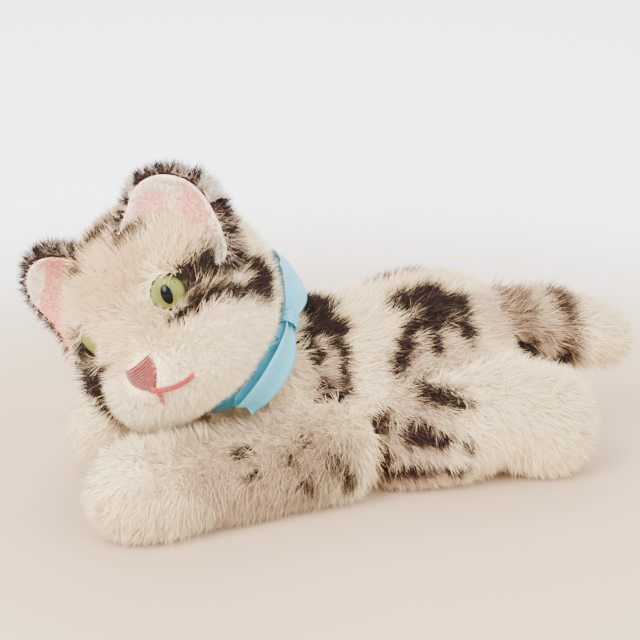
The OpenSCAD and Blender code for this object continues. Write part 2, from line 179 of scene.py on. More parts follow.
class Shades:
    """A new material with a Principled shader, and short ways to add its nodes."""

    def __init__(self, name, roughness, **sockets):
        self.material = bpy.data.materials.new(name)
        self.material.use_nodes = True
        self.tree = self.material.node_tree
        self.shader = self.tree.nodes["Principled BSDF"]
        self.set(self.shader, Roughness=roughness, **sockets)

    def set(self, node, **sockets):
        """Sets a node's sockets, named with _ for a space."""
        for socket, value in sockets.items():
            node.inputs[socket.replace("_", " ")].default_value = value
        return node

    def put(self, socket, value):
        """Links a socket to another, or sets it to a number or a colour."""
        if isinstance(value, bpy.types.NodeSocket):
            self.tree.links.new(value, socket)
        elif isinstance(value, tuple) and len(value) == 3:
            socket.default_value = (*value, 1) if socket.type == "RGBA" else value
        elif not isinstance(value, (int, float)) and len(value) == 3 and socket.type == "RGBA":
            socket.default_value = (*value, 1)
        else:
            socket.default_value = value

    def attribute(self, name):
        """A number that is stored on the mesh."""
        node = self.tree.nodes.new("ShaderNodeAttribute")
        node.attribute_name = name
        return node.outputs["Fac"]

    def place(self):
        """The place in the object's own coordinates."""
        return self.tree.nodes.new("ShaderNodeTexCoord").outputs["Object"]

    def uv(self):
        """The place on the piece's own UV map."""
        return self.tree.nodes.new("ShaderNodeTexCoord").outputs["UV"]

    def sum(self, operation, a, b=0.0):
        """One step of arithmetic."""
        node = self.tree.nodes.new("ShaderNodeMath")
        node.operation = operation
        self.put(node.inputs[0], a)
        self.put(node.inputs[1], b)
        return node.outputs[0]

    def between(self, value, low, high, to_low=0.0, to_high=1.0):
        """A smooth step of value from low to high."""
        node = self.tree.nodes.new("ShaderNodeMapRange")
        node.interpolation_type = "SMOOTHSTEP"
        for socket, entry in zip(node.inputs, (value, low, high, to_low, to_high)):
            self.put(socket, entry)
        return node.outputs[0]

    def mix(self, factor, a, b, blend="MIX"):
        """Two colours, blended by factor."""
        node = self.tree.nodes.new("ShaderNodeMix")
        node.data_type = "RGBA"
        node.blend_type = blend
        self.put(node.inputs["Factor"], factor)
        self.put(node.inputs[6], a)
        self.put(node.inputs[7], b)
        return node.outputs[2]

    def noise(self, scale, detail=2.0, vector=None, roughness=0.5):
        """Soft noise from 0 to 1."""
        node = self.tree.nodes.new("ShaderNodeTexNoise")
        self.put(node.inputs["Vector"], vector or self.place())
        self.set(node, Scale=scale, Detail=detail, Roughness=roughness)
        return node.outputs["Fac"]

    def stretched(self, vector, scale):
        """A place scaled along each axis."""
        node = self.tree.nodes.new("ShaderNodeMapping")
        self.put(node.inputs["Vector"], vector)
        node.inputs["Scale"].default_value = scale
        return node.outputs["Vector"]

    def bump(self, height, strength, distance):
        """Raises the surface by height."""
        node = self.tree.nodes.new("ShaderNodeBump")
        self.put(node.inputs["Height"], height)
        self.set(node, Strength=strength, Distance=distance)
        self.tree.links.new(node.outputs[0], self.shader.inputs["Normal"])

    def lie_down(self, share):
        """Turns the hairs' normals toward that of their skin, so pile shades as one soft surface."""
        lie = self.tree.nodes.new("ShaderNodeAttribute")
        lie.attribute_name = "lie"
        turned = self.tree.nodes.new("ShaderNodeVectorTransform")
        turned.vector_type = "NORMAL"
        turned.convert_from = "OBJECT"
        turned.convert_to = "WORLD"
        self.tree.links.new(lie.outputs["Vector"], turned.inputs[0])
        longer = self.tree.nodes.new("ShaderNodeVectorMath")
        longer.operation = "SCALE"
        longer.inputs["Scale"].default_value = share
        self.tree.links.new(turned.outputs[0], longer.inputs[0])
        own = self.tree.nodes.new("ShaderNodeNewGeometry")
        both = self.tree.nodes.new("ShaderNodeVectorMath")
        self.tree.links.new(longer.outputs[0], both.inputs[0])
        self.tree.links.new(own.outputs["Normal"], both.inputs[1])
        unit = self.tree.nodes.new("ShaderNodeVectorMath")
        unit.operation = "NORMALIZE"
        self.tree.links.new(both.outputs[0], unit.inputs[0])
        self.tree.links.new(unit.outputs[0], self.shader.inputs["Normal"])

    def base(self, value):
        """Sets the base colour and gives the finished material."""
        self.put(self.shader.inputs["Base Color"], value)
        return self.material


def mohair(name, ground, second, stripe, softness=0.45):
    """Pile whose colour comes from the skin's tan and stripe masks, from root to tip, hair by hair, with
    painted shade darkening each hair toward its root.
    """
    m = Shades(name, 0.9, Specular_IOR_Level=0.06)
    single = m.sum("FRACT", m.sum("ADD", m.attribute("hue"), m.attribute("strand")))
    tip = m.attribute("tip")
    pile = m.mix(m.attribute("tan"), tuple(ground), tuple(second))
    pile = m.mix(m.sum("MULTIPLY", single, 0.4), pile, m.mix(1.0, pile, (0.93, 0.86, 0.74), "MULTIPLY"))
    # Painted shade: each hair is darker toward its root, where the pile around it would shade it.
    pile = m.mix(m.between(tip, 0.0, 0.5, 0.25, 0.0), pile, m.mix(1.0, pile, (0.72, 0.6, 0.5), "MULTIPLY"))
    smoke = m.between(m.attribute("stripe"), 0.08, 0.6, 0.0, 0.8)
    pile = m.mix(smoke, pile, m.mix(1.0, pile, (0.62, 0.5, 0.44), "MULTIPLY"))
    start = m.sum("MULTIPLY", single, softness)
    painted = m.between(m.sum("SUBTRACT", m.attribute("stripe"), start), 0.05, 0.4)
    painted = m.sum("MULTIPLY", painted, m.between(tip, 0.0, 0.3, 0.85, 1.0))
    painted = m.sum("MULTIPLY", painted, m.between(single, 0.8, 1.0, 1.0, 0.85))
    pile = m.mix(painted, pile, tuple(stripe))
    m.lie_down(1.3)
    return m.base(pile)


# ---------------------------------------------------------------- meshes


def link(name, mesh):
    """An object of the mesh, in the scene."""
    piece = bpy.data.objects.new(name, mesh)
    bpy.context.scene.collection.objects.link(piece)
    return piece


def piece(name, mesh, body, slot, material, nodes=()):
    """A finished piece that moves with a body, takes the given material and stands for CAD nodes."""
    made = link(name, mesh)
    mesh.materials.clear()
    mesh.materials.append(material)
    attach(made, body)
    if nodes:
        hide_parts(*nodes)
    return made


def finished(made):
    """The object's mesh with its modifiers applied."""
    graph = bpy.context.evaluated_depsgraph_get()
    graph.update()
    mesh = bpy.data.meshes.new_from_object(made.evaluated_get(graph), depsgraph=graph)
    name = made.name
    old = made.data
    bpy.data.objects.remove(made)
    if isinstance(old, bpy.types.Mesh) and not old.users:
        bpy.data.meshes.remove(old)
    mesh.name = name
    return mesh


def to_mesh(bm, name):
    """The bmesh as a mesh of its own."""
    mesh = bpy.data.meshes.new(name)
    bm.to_mesh(mesh)
    bm.free()
    return mesh


def largest_shell(mesh):
    """Keeps only the outside shell of a remeshed skin."""
    bm = bmesh.new()
    bm.from_mesh(mesh)
    left = set(bm.verts)
    best = set()
    while left:
        shell = {left.pop()}
        edge = list(shell)
        while edge:
            vert = edge.pop()
            for e in vert.link_edges:
                other = e.other_vert(vert)
                if other in left:
                    left.discard(other)
                    shell.add(other)
                    edge.append(other)
        if len(shell) > len(best):
            best = shell
    bmesh.ops.delete(bm, geom=[v for v in bm.verts if v not in best], context="VERTS")
    bm.to_mesh(mesh)
    bm.free()


def skin(name, nodes, voxel, rounds):
    """One closed, rounded skin over the outside of the CAD nodes."""
    bm = bmesh.new()
    for node in nodes:
        bm.from_mesh(frame["nodes"][node].data)
    bmesh.ops.remove_doubles(bm, verts=bm.verts, dist=1e-5)
    made = link(name, to_mesh(bm, name))
    remesh = made.modifiers.new("Remesh", "REMESH")
    remesh.mode = "VOXEL"
    remesh.voxel_size = voxel
    smooth = made.modifiers.new("Smooth", "SMOOTH")
    smooth.factor = 0.5
    smooth.iterations = rounds
    mesh = finished(made)
    largest_shell(mesh)
    return mesh


def tree_of(mesh):
    """A search tree of the mesh as it is now."""
    mesh.calc_loop_triangles()
    triangles = [tuple(t.vertices) for t in mesh.loop_triangles]
    return BVHTree.FromPolygons([v.co for v in mesh.vertices], triangles)


def give(mesh, name, values, kind="FLOAT"):
    """Stores a value for each point of the mesh."""
    layer = mesh.attributes.new(name, kind, "POINT")
    if kind == "FLOAT":
        layer.data.foreach_set("value", values)
    else:
        layer.data.foreach_set("vector", [c for v in values for c in v])


def give_coat(mesh, rows):
    """Stores the marks, pile and comb of a skin, which its hair and its material read."""
    for key in ("stripe", "tan", "pile"):
        give(mesh, key, rows[key])
    give(mesh, "comb", rows["comb"], "FLOAT_VECTOR")


def smoothstep(low, high, x):
    """From 0 at low to 1 at high, with a soft start and end."""
    t = min(1.0, max(0.0, (x - low) / (high - low)))
    return t * t * (3 - 2 * t)


def marked(point, marks, ragged=0.35, grain=0.16):
    """How strongly marks of (centre, radii, strength), all in mm, colour a point."""
    best = 0.0
    wobble = ragged * noise.noise(point * grain) + ragged * 0.6 * noise.noise(point * grain * 2.7)
    for centre, radii, strength in marks:
        away = Vector([(point[i] - centre[i]) / radii[i] for i in range(3)]).length
        best = max(best, strength * (1 - smoothstep(0.72, 1.28, away + wobble)))
    return best


# ---------------------------------------------------------------- markings, in mm

# Across the torso and legs x is the distance from the middle of the cat.
TORSO_STRIPES = [
    ((0, -12, 57), (13, 8, 9), 1.0),
    ((12, -9, 52), (5, 6.5, 7), 1.0),
    ((15, -17, 55), (5, 5, 7), 0.9),
    ((19, -16, 45.5), (5, 2.8, 4.2), 0.95),
    ((22, -15, 38), (5, 2.6, 3.6), 0.9),
    ((24, -14, 31), (5, 2.8, 3.6), 0.9),
    ((17, -8, 47), (5, 2.8, 5), 1.0),
    ((20.5, -8, 40.5), (5, 2.6, 3.2), 1.0),
    ((22.5, -8.5, 34), (5, 3.2, 3.8), 1.0),
    ((24, -9, 27), (5, 3, 3.6), 0.9),
    ((10, 16, 57), (6.5, 5, 4), 0.9),
    ((11, 25, 57), (7, 9, 5.5), 1.0),
    ((14, 34, 54.5), (6, 4.6, 6), 1.0),
    ((18, 23, 52), (5, 9, 3.6), 0.95),
    ((21, 13, 47.5), (4.4, 3.2, 8), 1.0),
    ((24, 9, 40), (4.4, 2.6, 5), 0.8),
    ((23, 22.5, 46), (4, 2.8, 5.5), 0.95),
    ((21, 34.5, 48.5), (4.4, 3.4, 6.5), 1.0),
]
TORSO_TAN = [
    ((25, -14, 38), (11, 8, 14), 0.9),
    ((24, 22, 43), (8, 18, 9), 0.8),
    ((0, 30, 59), (6, 16, 6), 0.35),
    ((14, 47, 49), (10, 9, 9), 0.85),
]
HIND_STRIPES = [
    ((31, 15, 36.5), (6, 5, 3), 0.7),
    ((34, 20, 33.5), (6, 7, 3.2), 0.78),
    ((36, 27, 31.5), (5, 5, 2.8), 0.72),
    # The next three marks darken the front edge of the thigh, most strongly low down.
    ((27, 3, 30), (8, 3, 9), 0.62),
    ((30, -1, 20), (8, 4, 9), 0.7),
    ((32, 1, 15), (7, 4, 4.5), 1.0),
    ((35, 11, 23.5), (6, 4.5, 4.6), 1.0),
    ((36, 19, 21), (6, 6, 3), 1.0),
    ((37, 28, 18), (5, 3, 2.6), 0.8),
    ((35, 14, 10), (7, 8, 2.6), 0.95),
    ((36, 25, 9), (6, 6, 2.2), 0.8),
    ((33, 4, 8), (6, 3, 3), 0.8),
]
HIND_TAN = [((33, 8, 20), (14, 18, 22), 0.9)]
FRONT_STRIPES = [
    ((36, -43, 25), (5, 2.8, 1.6), 0.75),
    ((39, -41, 18.5), (4, 3.2, 1.5), 0.8),
    ((37, -27, 21), (5, 2.2, 2.4), 0.8),
    ((37, -22, 26), (5, 2.2, 2.0), 0.75),
    ((38, -22, 12), (5, 2.4, 2.6), 0.7),
    ((38, -14, 18), (6, 2.4, 4), 0.6),
    ((36, -8, 12), (6, 4, 6), 0.6),
    ((37, -20, 18), (10, 15, 15), 0.3),
    ((37, -38, 12), (10, 10, 8), 0.22),
]
FRONT_TAN = [((33, -36, 20), (24, 30, 24), 0.85)]
TAIL_STRIPES = [
    ((8, 56.5, 46), (30, 5.4, 30), 0.42),
    ((14, 71, 42), (30, 5.0, 30), 0.45),
    ((14, 71, 50), (30, 3.0, 6), 0.62),
    ((15, 58, 37), (6, 3.4, 4.4), 1.0),
    ((17, 70, 35), (6, 3.2, 4), 1.0),
    ((17, 64, 43), (6, 2.6, 3), 0.5),
]
TAIL_TAN = [((10, 62, 44), (30, 14, 30), 0.9), ((14, 90, 40), (30, 12, 30), 0.25)]

# On the head the places are in its own frame, and x is the distance from the middle of the face.
HEAD_STRIPES = [
    ((24, -19, 7.5), (4.5, 4.5, 3.4), 0.85),
    ((29, -12.5, 5.5), (5, 5.5, 3.8), 1.0),
    ((31, -9, 5), (5, 6, 3.8), 1.0),
    ((33, -5, 1.5), (5, 6, 3.6), 1.0),
    ((32, 0.5, -3.5), (5, 5, 3.2), 1.0),
    ((31, 6, -9), (5, 5, 3.6), 1.0),
    ((22.5, -21.5, -0.8), (4.5, 4, 2.2), 0.95),
    ((27, -18, -2.5), (4.5, 4.5, 2.6), 1.0),
    ((30.5, -13.5, -5), (5, 4.5, 2.8), 1.0),
    ((32, -8, -8.5), (5, 4.5, 3), 1.0),
    ((31, -3, -13), (5, 4, 3), 1.0),
    ((28, -14, 2.0), (6, 9, 5), 0.42),
    ((23.5, -20.5, 3.2), (4, 5, 5), 0.5),
    ((33, -4, -9), (5, 6, 4), 1.0),
    ((32.5, 2, -9), (5, 6, 4.5), 1.0),
    ((17, -25, -0.9), (4.6, 5, 2.4), 1.0),
    ((3, -9, 31.5), (4.5, 4, 3.4), 0.85),
    ((12, -13.5, 26.5), (8, 4, 3), 0.62),
    ((3, -3, 35), (3, 7, 4), 0.5),
    ((27, 3, 18), (5, 5, 6), 0.7),
    ((12, 13, 30), (4, 15, 7), 0.9),
    ((21, 22, 14), (4.5, 8, 17), 0.9),
    ((0, 24, 20), (4.5, 12, 20), 0.9),
]
# The dark hair of the right cheek shows past the muzzle, so its x is signed.
RIGHT_CHEEK = [((-23, -22, -6), (7, 8, 7), 1.0), ((-25, -16, -13), (6, 8, 7), 0.9)]
HEAD_TAN = [
    ((0, -18, 22), (18, 14, 14), 0.9),
    ((24, -10, 16), (8, 12, 9), 0.75),
    ((0, 10, 20), (34, 24, 30), 0.5),
]
MUZZLE_TAN = [((10, -28, -1), (9, 8, 5), 0.8), ((0, -30, -4), (5, 8, 5), 0.5)]
# Longer hair stands before the foot of each ear.
EAR_PUFF = [((26, -12, 11), (9, 10, 9), 1.0)]
# The mouth's lines run from one x, z of the face to another, each of so many threads.
MOUTH_LINES = (
    ((0.4, -11.8), (2.0, -14.2), 5),
    ((1.6, -13.8), (15.2, -16.4), 4),
    ((2.4, -13.8), (-2.6, -18.6), 5),
)

# On an ear the places are in its own frame. It is cupped toward this place.
EAR_CUP = Vector((0, -30, 16))
EAR_BLUSH = [((-6, 0, 16), (6, 99, 9), 0.75), ((7, 0, 17), (5.5, 99, 9), 0.85)]


def body_place(point):
    """A place's distance from the middle of the cat, with its y and z, in mm."""
    return Vector((abs(point.x - MIDDLE_X), point.y, point.z)) / MM


def tail_place(point):
    """A place with x from the middle of the cat, in mm."""
    return Vector((point.x - MIDDLE_X, point.y, point.z)) / MM


TO_HEAD = HEAD_FRAME.inverted()
TO_NECK = NECK_FRAME.inverted()


def eye_frame(side):
    """Out of an eye is +Z, and its slit stands along Y."""
    return (
        HEAD_FRAME
        @ Matrix.Translation((side * EYE_PLACE.x, EYE_PLACE.y, EYE_PLACE.z))
        @ Matrix.Rotation(math.radians(side * EYE_YAW), 4, "Z")
        @ Matrix.Rotation(math.radians(90), 4, "X")
    )


def ear_frame(side):
    """Across an ear is X, toward its tip is Z, and its lining faces -Y."""
    return (
        HEAD_FRAME
        @ Matrix.Translation(Vector((side * 16, -1, 11)) * MM)
        @ Matrix.Rotation(math.radians(side * 33), 4, "Y")
        @ Matrix.Rotation(math.radians(side * 8), 4, "Z")
    )


# ---------------------------------------------------------------- hair


LOCK_HAIRS = 6
BENT_HAIRS = 1
LOCK_LENGTH = 6 * MM


def hair_lock(name, rng, strands, splay):
    """A few closed and pointed hairs, the first of them bent, that grow from nearly one root."""
    bm = bmesh.new()
    tip = bm.verts.layers.float.new("tip")
    strand = bm.verts.layers.float.new("strand")
    for i in range(strands):
        made = bmesh.ops.create_cone(
            bm, cap_ends=True, segments=3, radius1=sizes().lock_radius, radius2=0, depth=1
        )["verts"]
        bmesh.ops.translate(bm, verts=made, vec=(0, 0, 0.5))
        middle = []
        if i < BENT_HAIRS:
            faces = list({f for v in made for f in v.link_faces})
            edges = list({e for v in made for e in v.link_edges})
            cut = bmesh.ops.bisect_plane(
                bm, geom=made + edges + faces, dist=1e-6, plane_co=(0, 0, 0.45), plane_no=(0, 0, 1)
            )
            middle = [g for g in cut["geom_cut"] if isinstance(g, bmesh.types.BMVert)]
        verts = list(set(made) | set(middle))
        spread = Vector((rng.uniform(-1, 1), rng.uniform(-1, 1), 0)) * 0.55 * MM
        lean = Vector((rng.uniform(-1, 1), rng.uniform(-1, 1), 0)) * splay
        size = LOCK_LENGTH * rng.uniform(0.72, 1.08)
        bend = rng.uniform(0.5, 1.6) * MM
        for v in verts:
            z = v.co.z
            v[tip] = z
            v[strand] = (i + 0.5) / strands
            if v in middle:
                v.co.x *= 1.55
                v.co.y *= 1.55
            v.co.z = z * size
            v.co += spread + lean * z
            v.co.x += bend * z * z
    bmesh.ops.triangulate(bm, faces=bm.faces)
    bmesh.ops.recalc_face_normals(bm, faces=bm.faces)
    return link(name, to_mesh(bm, name))


def coat_nodes(locks, seed, spread):
    """Geometry nodes that grow locks over a skin by its growth, comb and pile attributes."""
    tree = bpy.data.node_groups.new("Coat", "GeometryNodeTree")
    tree.interface.new_socket("Geometry", in_out="INPUT", socket_type="NodeSocketGeometry")
    tree.interface.new_socket("Geometry", in_out="OUTPUT", socket_type="NodeSocketGeometry")

    def node(kind, **settings):
        made = tree.nodes.new(kind)
        for key, value in settings.items():
            setattr(made, key, value)
        return made

    def stored(name, kind):
        made = node("GeometryNodeInputNamedAttribute", data_type=kind)
        made.inputs["Name"].default_value = name
        return made.outputs["Attribute"]

    def join(a, b):
        tree.links.new(a, b)

    def active(made, kind, name):
        return next(s for s in getattr(made, kind) if s.name == name and s.enabled)

    skin_in = node("NodeGroupInput")
    result = node("NodeGroupOutput")
    roots = node("GeometryNodeDistributePointsOnFaces", distribute_method="RANDOM")
    join(skin_in.outputs[0], roots.inputs["Mesh"])
    join(stored("growth", "FLOAT"), roots.inputs["Density"])
    roots.inputs["Seed"].default_value = seed

    hue = node("FunctionNodeRandomValue", data_type="FLOAT")
    active(hue, "inputs", "Seed").default_value = seed + 1
    keep = node("GeometryNodeStoreNamedAttribute", data_type="FLOAT", domain="POINT")
    keep.inputs["Name"].default_value = "hue"
    join(roots.outputs["Points"], keep.inputs["Geometry"])
    join(active(hue, "outputs", "Value"), active(keep, "inputs", "Value"))
    lie = node("GeometryNodeStoreNamedAttribute", data_type="FLOAT_VECTOR", domain="POINT")
    lie.inputs["Name"].default_value = "lie"
    join(keep.outputs[0], lie.inputs["Geometry"])
    join(roots.outputs["Normal"], active(lie, "inputs", "Value"))

    stray = node("FunctionNodeRandomValue", data_type="FLOAT_VECTOR")
    active(stray, "inputs", "Min").default_value = (-spread, -spread, -spread)
    active(stray, "inputs", "Max").default_value = (spread, spread, spread)
    active(stray, "inputs", "Seed").default_value = seed + 2
    comb = stored("comb", "FLOAT_VECTOR")
    leaning = node("ShaderNodeVectorMath", operation="ADD")
    join(roots.outputs["Normal"], leaning.inputs[0])
    join(comb, leaning.inputs[1])
    strayed = node("ShaderNodeVectorMath", operation="ADD")
    join(leaning.outputs[0], strayed.inputs[0])
    join(active(stray, "outputs", "Value"), strayed.inputs[1])
    upright = node("FunctionNodeAlignRotationToVector", axis="Z")
    join(strayed.outputs[0], upright.inputs["Vector"])
    bent = node("FunctionNodeAlignRotationToVector", axis="X", pivot_axis="Z")
    join(upright.outputs[0], bent.inputs["Rotation"])
    swirl = node("ShaderNodeVectorMath", operation="ADD")
    join(comb, swirl.inputs[0])
    join(active(stray, "outputs", "Value"), swirl.inputs[1])
    join(swirl.outputs[0], bent.inputs["Vector"])

    size = node("FunctionNodeRandomValue", data_type="FLOAT")
    active(size, "inputs", "Min").default_value = 0.78 / LOCK_LENGTH
    active(size, "inputs", "Max").default_value = 1.08 / LOCK_LENGTH
    active(size, "inputs", "Seed").default_value = seed + 3
    scale = node("ShaderNodeMath", operation="MULTIPLY")
    join(active(size, "outputs", "Value"), scale.inputs[0])
    join(stored("pile", "FLOAT"), scale.inputs[1])

    choices = node("GeometryNodeJoinGeometry")
    for lock in locks:
        info = node("GeometryNodeObjectInfo")
        info.inputs["Object"].default_value = lock
        info.inputs["As Instance"].default_value = True
        join(info.outputs["Geometry"], choices.inputs[0])
    grown = node("GeometryNodeInstanceOnPoints")
    join(lie.outputs[0], grown.inputs["Points"])
    join(choices.outputs[0], grown.inputs["Instance"])
    grown.inputs["Pick Instance"].default_value = True
    join(bent.outputs[0], grown.inputs["Rotation"])
    join(scale.outputs[0], grown.inputs["Scale"])
    real = node("GeometryNodeRealizeInstances")
    join(grown.outputs[0], real.inputs[0])
    join(real.outputs[0], result.inputs[0])
    return tree


def grow(name, mesh, growth, locks, seed, spread, body, slot, material):
    """A piece of pile on one panel of a skin, as closed hairs."""
    panel = mesh.copy()
    give(panel, "growth", growth)
    made = link(name, panel)
    coat = made.modifiers.new("Coat", "NODES")
    coat.node_group = coat_nodes(locks, seed, spread)
    pile = finished(made)
    spots = array("f", [0.0]) * (3 * len(pile.vertices))
    pile.vertices.foreach_get("co", spots)
    # Hair that would reach below the floor lies down on it, at slightly different heights.
    for i in range(2, len(spots), 3):
        if spots[i] < FLOOR_GAP:
            spots[i] = FLOOR_GAP + 0.2 * MM * (i % 7) / 7
    pile.vertices.foreach_set("co", spots)
    for unused in ("growth", "comb", "pile"):
        if unused in pile.attributes:
            pile.attributes.remove(pile.attributes[unused])
    return piece(name, pile, body, slot, material)


# ---------------------------------------------------------------- skins of the limbs, torso and head

LIMBS = {
    "front_leg_left": ("front_leg_left_cover", "front_leg_left_stuffing"),
    "front_leg_right": ("front_leg_right_cover", "front_leg_right_stuffing"),
    "hind_leg_left": ("hind_leg_left_cover", "hind_leg_left_stuffing"),
    "hind_leg_right": ("hind_leg_right_cover", "hind_leg_right_stuffing"),
    "tail": ("tail_cover", "tail_stuffing"),
}
TORSO_NODES = ("torso_panel_left", "torso_panel_right", "belly_gusset", "torso_stuffing")
HEAD_NODES = ("head_panel_left", "head_panel_right", "forehead_gusset", "muzzle_panel", "head_stuffing")
NEIGHBOURS = {
    "torso": ("front_leg_left", "front_leg_right", "hind_leg_left", "hind_leg_right", "tail"),
    "front_leg_left": ("torso", "hind_leg_left"),
    "front_leg_right": ("torso", "hind_leg_right"),
    "hind_leg_left": ("torso", "front_leg_left", "tail"),
    "hind_leg_right": ("torso", "front_leg_right", "tail"),
    "tail": ("torso", "hind_leg_left", "hind_leg_right"),
}
BODY_COMBS = {
    "torso": (0, 0.75, -0.25),
    "front_leg_left": (0.1, -0.6, -0.45),
    "front_leg_right": (-0.1, -0.6, -0.45),
    "hind_leg_left": (0.05, 0.55, -0.5),
    "hind_leg_right": (-0.05, 0.55, -0.5),
    "tail": (0.12, 0.85, -0.1),
}
BODY_MARKS = {
    "torso": (TORSO_STRIPES, TORSO_TAN, body_place),
    "front_leg_left": (FRONT_STRIPES, FRONT_TAN, body_place),
    "front_leg_right": (FRONT_STRIPES, FRONT_TAN, body_place),
    "hind_leg_left": (HIND_STRIPES, HIND_TAN, body_place),
    "hind_leg_right": (HIND_STRIPES, HIND_TAN, body_place),
    "tail": (TAIL_STRIPES, TAIL_TAN, tail_place),
}
# Where, along Y, a crease parts each front paw from its leg.
PAW_CREASES = {"front_leg_left": -0.0705, "front_leg_right": -0.064}
# The head's operator leaves its skin's search tree here for the stitches.
SKINS = {}


def touching(point, trees, reach):
    """How far a point is from the nearest neighbour, in parts of reach."""
    near = 1.0
    for tree in trees:
        hit = tree.find_nearest(point, reach)
        if hit[0] is not None:
            near = min(near, hit[3] / reach)
    return near


def tangent(vector, normal):
    """The part of a vector that lies along the surface."""
    return vector - normal * vector.dot(normal)


def dress_body(name, mesh, trees):
    """Sets a body skin's pile under its cover and gives it its markings."""
    stripes, tans, place = BODY_MARKS[name]
    comb_way = Vector(BODY_COMBS[name])
    rows = {key: [] for key in ("stripe", "tan", "pile", "comb", "open")}
    moves = []
    for v in mesh.vertices:
        point, normal = v.co.copy(), v.normal.copy()
        neck = TO_NECK @ point
        off_axis = math.hypot(neck.x, neck.y)
        near = touching(point, trees, 6 * MM)
        free = smoothstep(0.1, 0.42, near)
        if name == "torso":
            if neck.z > -5 * MM and off_axis < TORSO_NECK_RADIUS:
                free *= smoothstep(-2.0 * MM, -5 * MM, neck.z)
        pile = sizes().body_pile * (1 + 0.12 * noise.noise(point * 90))
        if name == "tail":
            pile *= 1 + 0.25 * smoothstep(0.074, 0.088, point.y)
        if name.startswith("front") and point.y < -0.07:
            pile *= 0.85
        pile *= 0.55 + 0.45 * smoothstep(0.0, 6 * MM, point.z)
        rows["stripe"].append(marked(place(point), stripes))
        rows["tan"].append(marked(place(point), tans, 0.2, 0.1))
        rows["pile"].append(pile)
        rows["comb"].append(tangent(comb_way, normal))
        rows["open"].append(free)
        lump = 0.5 * MM * noise.noise(point * 60)
        drop = (pile * 0.74 - PILE_PROUD - lump) * smoothstep(0.05, 0.9, near)
        if name in PAW_CREASES:
            crease = math.exp(-((point.y - PAW_CREASES[name]) / (2.6 * MM)) ** 2)
            drop += 1.9 * MM * crease * smoothstep(4, 14, point.z / MM)
        if point.z < 6 * MM:
            drop *= smoothstep(-1 * MM, 6 * MM, point.z) * 0.8 + 0.2
        moves.append(point - normal * drop)
    for v, to in zip(mesh.vertices, moves):
        v.co = to
        v.co.z = max(v.co.z, SKIN_FLOOR)
    give_coat(mesh, rows)
    return rows["open"]


def fill(mesh, hue, tip):
    """The skin under the pile takes one hair's middle, with the painted root shade that a hair has there."""
    count = len(mesh.vertices)
    give(mesh, "hue", [hue] * count)
    give(mesh, "strand", [0.0] * count)
    give(mesh, "tip", [tip] * count)
    give(mesh, "lie", [v.normal.copy() for v in mesh.vertices], "FLOAT_VECTOR")


def locks_for(seed):
    """Four different locks of hair to grow a coat from."""
    rng = random.Random(seed)
    return [hair_lock(f"lock_{i}", rng, LOCK_HAIRS, 1.3 * MM) for i in range(4)]


def drop_locks(locks):
    """Takes the locks away once their coats are grown."""
    for lock in locks:
        mesh = lock.data
        bpy.data.objects.remove(lock)
        bpy.data.meshes.remove(mesh)


def density(open_share, part=1.0):
    """Locks on a square metre."""
    return open_share * part * sizes().hairs * 1e4 / LOCK_HAIRS


class PLUSHCAT_OT_body(bpy.types.Operator):
    """Make the torso, the four legs and the tail with their striped pile"""

    bl_idname = "plushcat.body"
    bl_label = "Torso, legs and tail"

    def execute(self, context):
        skins = {"torso": skin("torso_skin", TORSO_NODES, sizes().skin_voxel, 6)}
        for name, nodes in LIMBS.items():
            skins[name] = skin(name + "_skin", nodes, sizes().skin_voxel, 6)
        trees = {name: tree_of(mesh) for name, mesh in skins.items()}
        c = colours()
        coat = mohair("Striped mohair", c.cream, c.tan, c.stripe)
        locks = locks_for(3)
        for index, (name, mesh) in enumerate(skins.items()):
            open_skin = dress_body(name, mesh, [trees[n] for n in NEIGHBOURS[name]])
            if name == "torso":
                left = [smoothstep(-1, 1, (v.co.x - MIDDLE_X) / MM) for v in mesh.vertices]
                shares = {"torso_pile_left": left, "torso_pile_right": [1 - s for s in left]}
            else:
                shares = {name + "_pile": [1.0] * len(mesh.vertices)}
            for i, (pile_name, share) in enumerate(shares.items()):
                growth = [density(o, s) for o, s in zip(open_skin, share)]
                grow(pile_name, mesh, growth, locks, 11 + 7 * index + i, 0.55, "body", "striped_mohair", coat)
            fill(mesh, 0.5, 0.28)
            nodes = TORSO_NODES if name == "torso" else LIMBS[name]
            made = piece(name + "_skin", mesh, "body", "striped_mohair", coat, nodes)
            mesh.shade_smooth()
        drop_locks(locks)
        return {"FINISHED"}


def on_muzzle(local):
    """How far inside the short pile of the muzzle a place of the head's frame is, from 0 to 1."""
    x, y, z = local
    top = 1.0 - 0.0125 * x * x - 0.6 * max(0.0, y + 14) - 1.2 * max(0.0, -19 - x)
    return smoothstep(-0.8, 1.0, top - z) * (1 - smoothstep(2, 8, y))


def round_eyes(point, eyes):
    """The gap to the middle of the nearer eye, in mm, and how much of a brow a place is, from 0 to 1."""
    gap = 1e9
    brow = 0.0
    for eye in eyes:
        seen = (eye @ point) / MM
        if seen.z > -12:
            gap = min(gap, math.hypot(seen.x, seen.y))
            brow = max(brow, smoothstep(1.0, 3.5, seen.y) * (1 - smoothstep(6.5, 9.5, gap)))
    return gap, brow


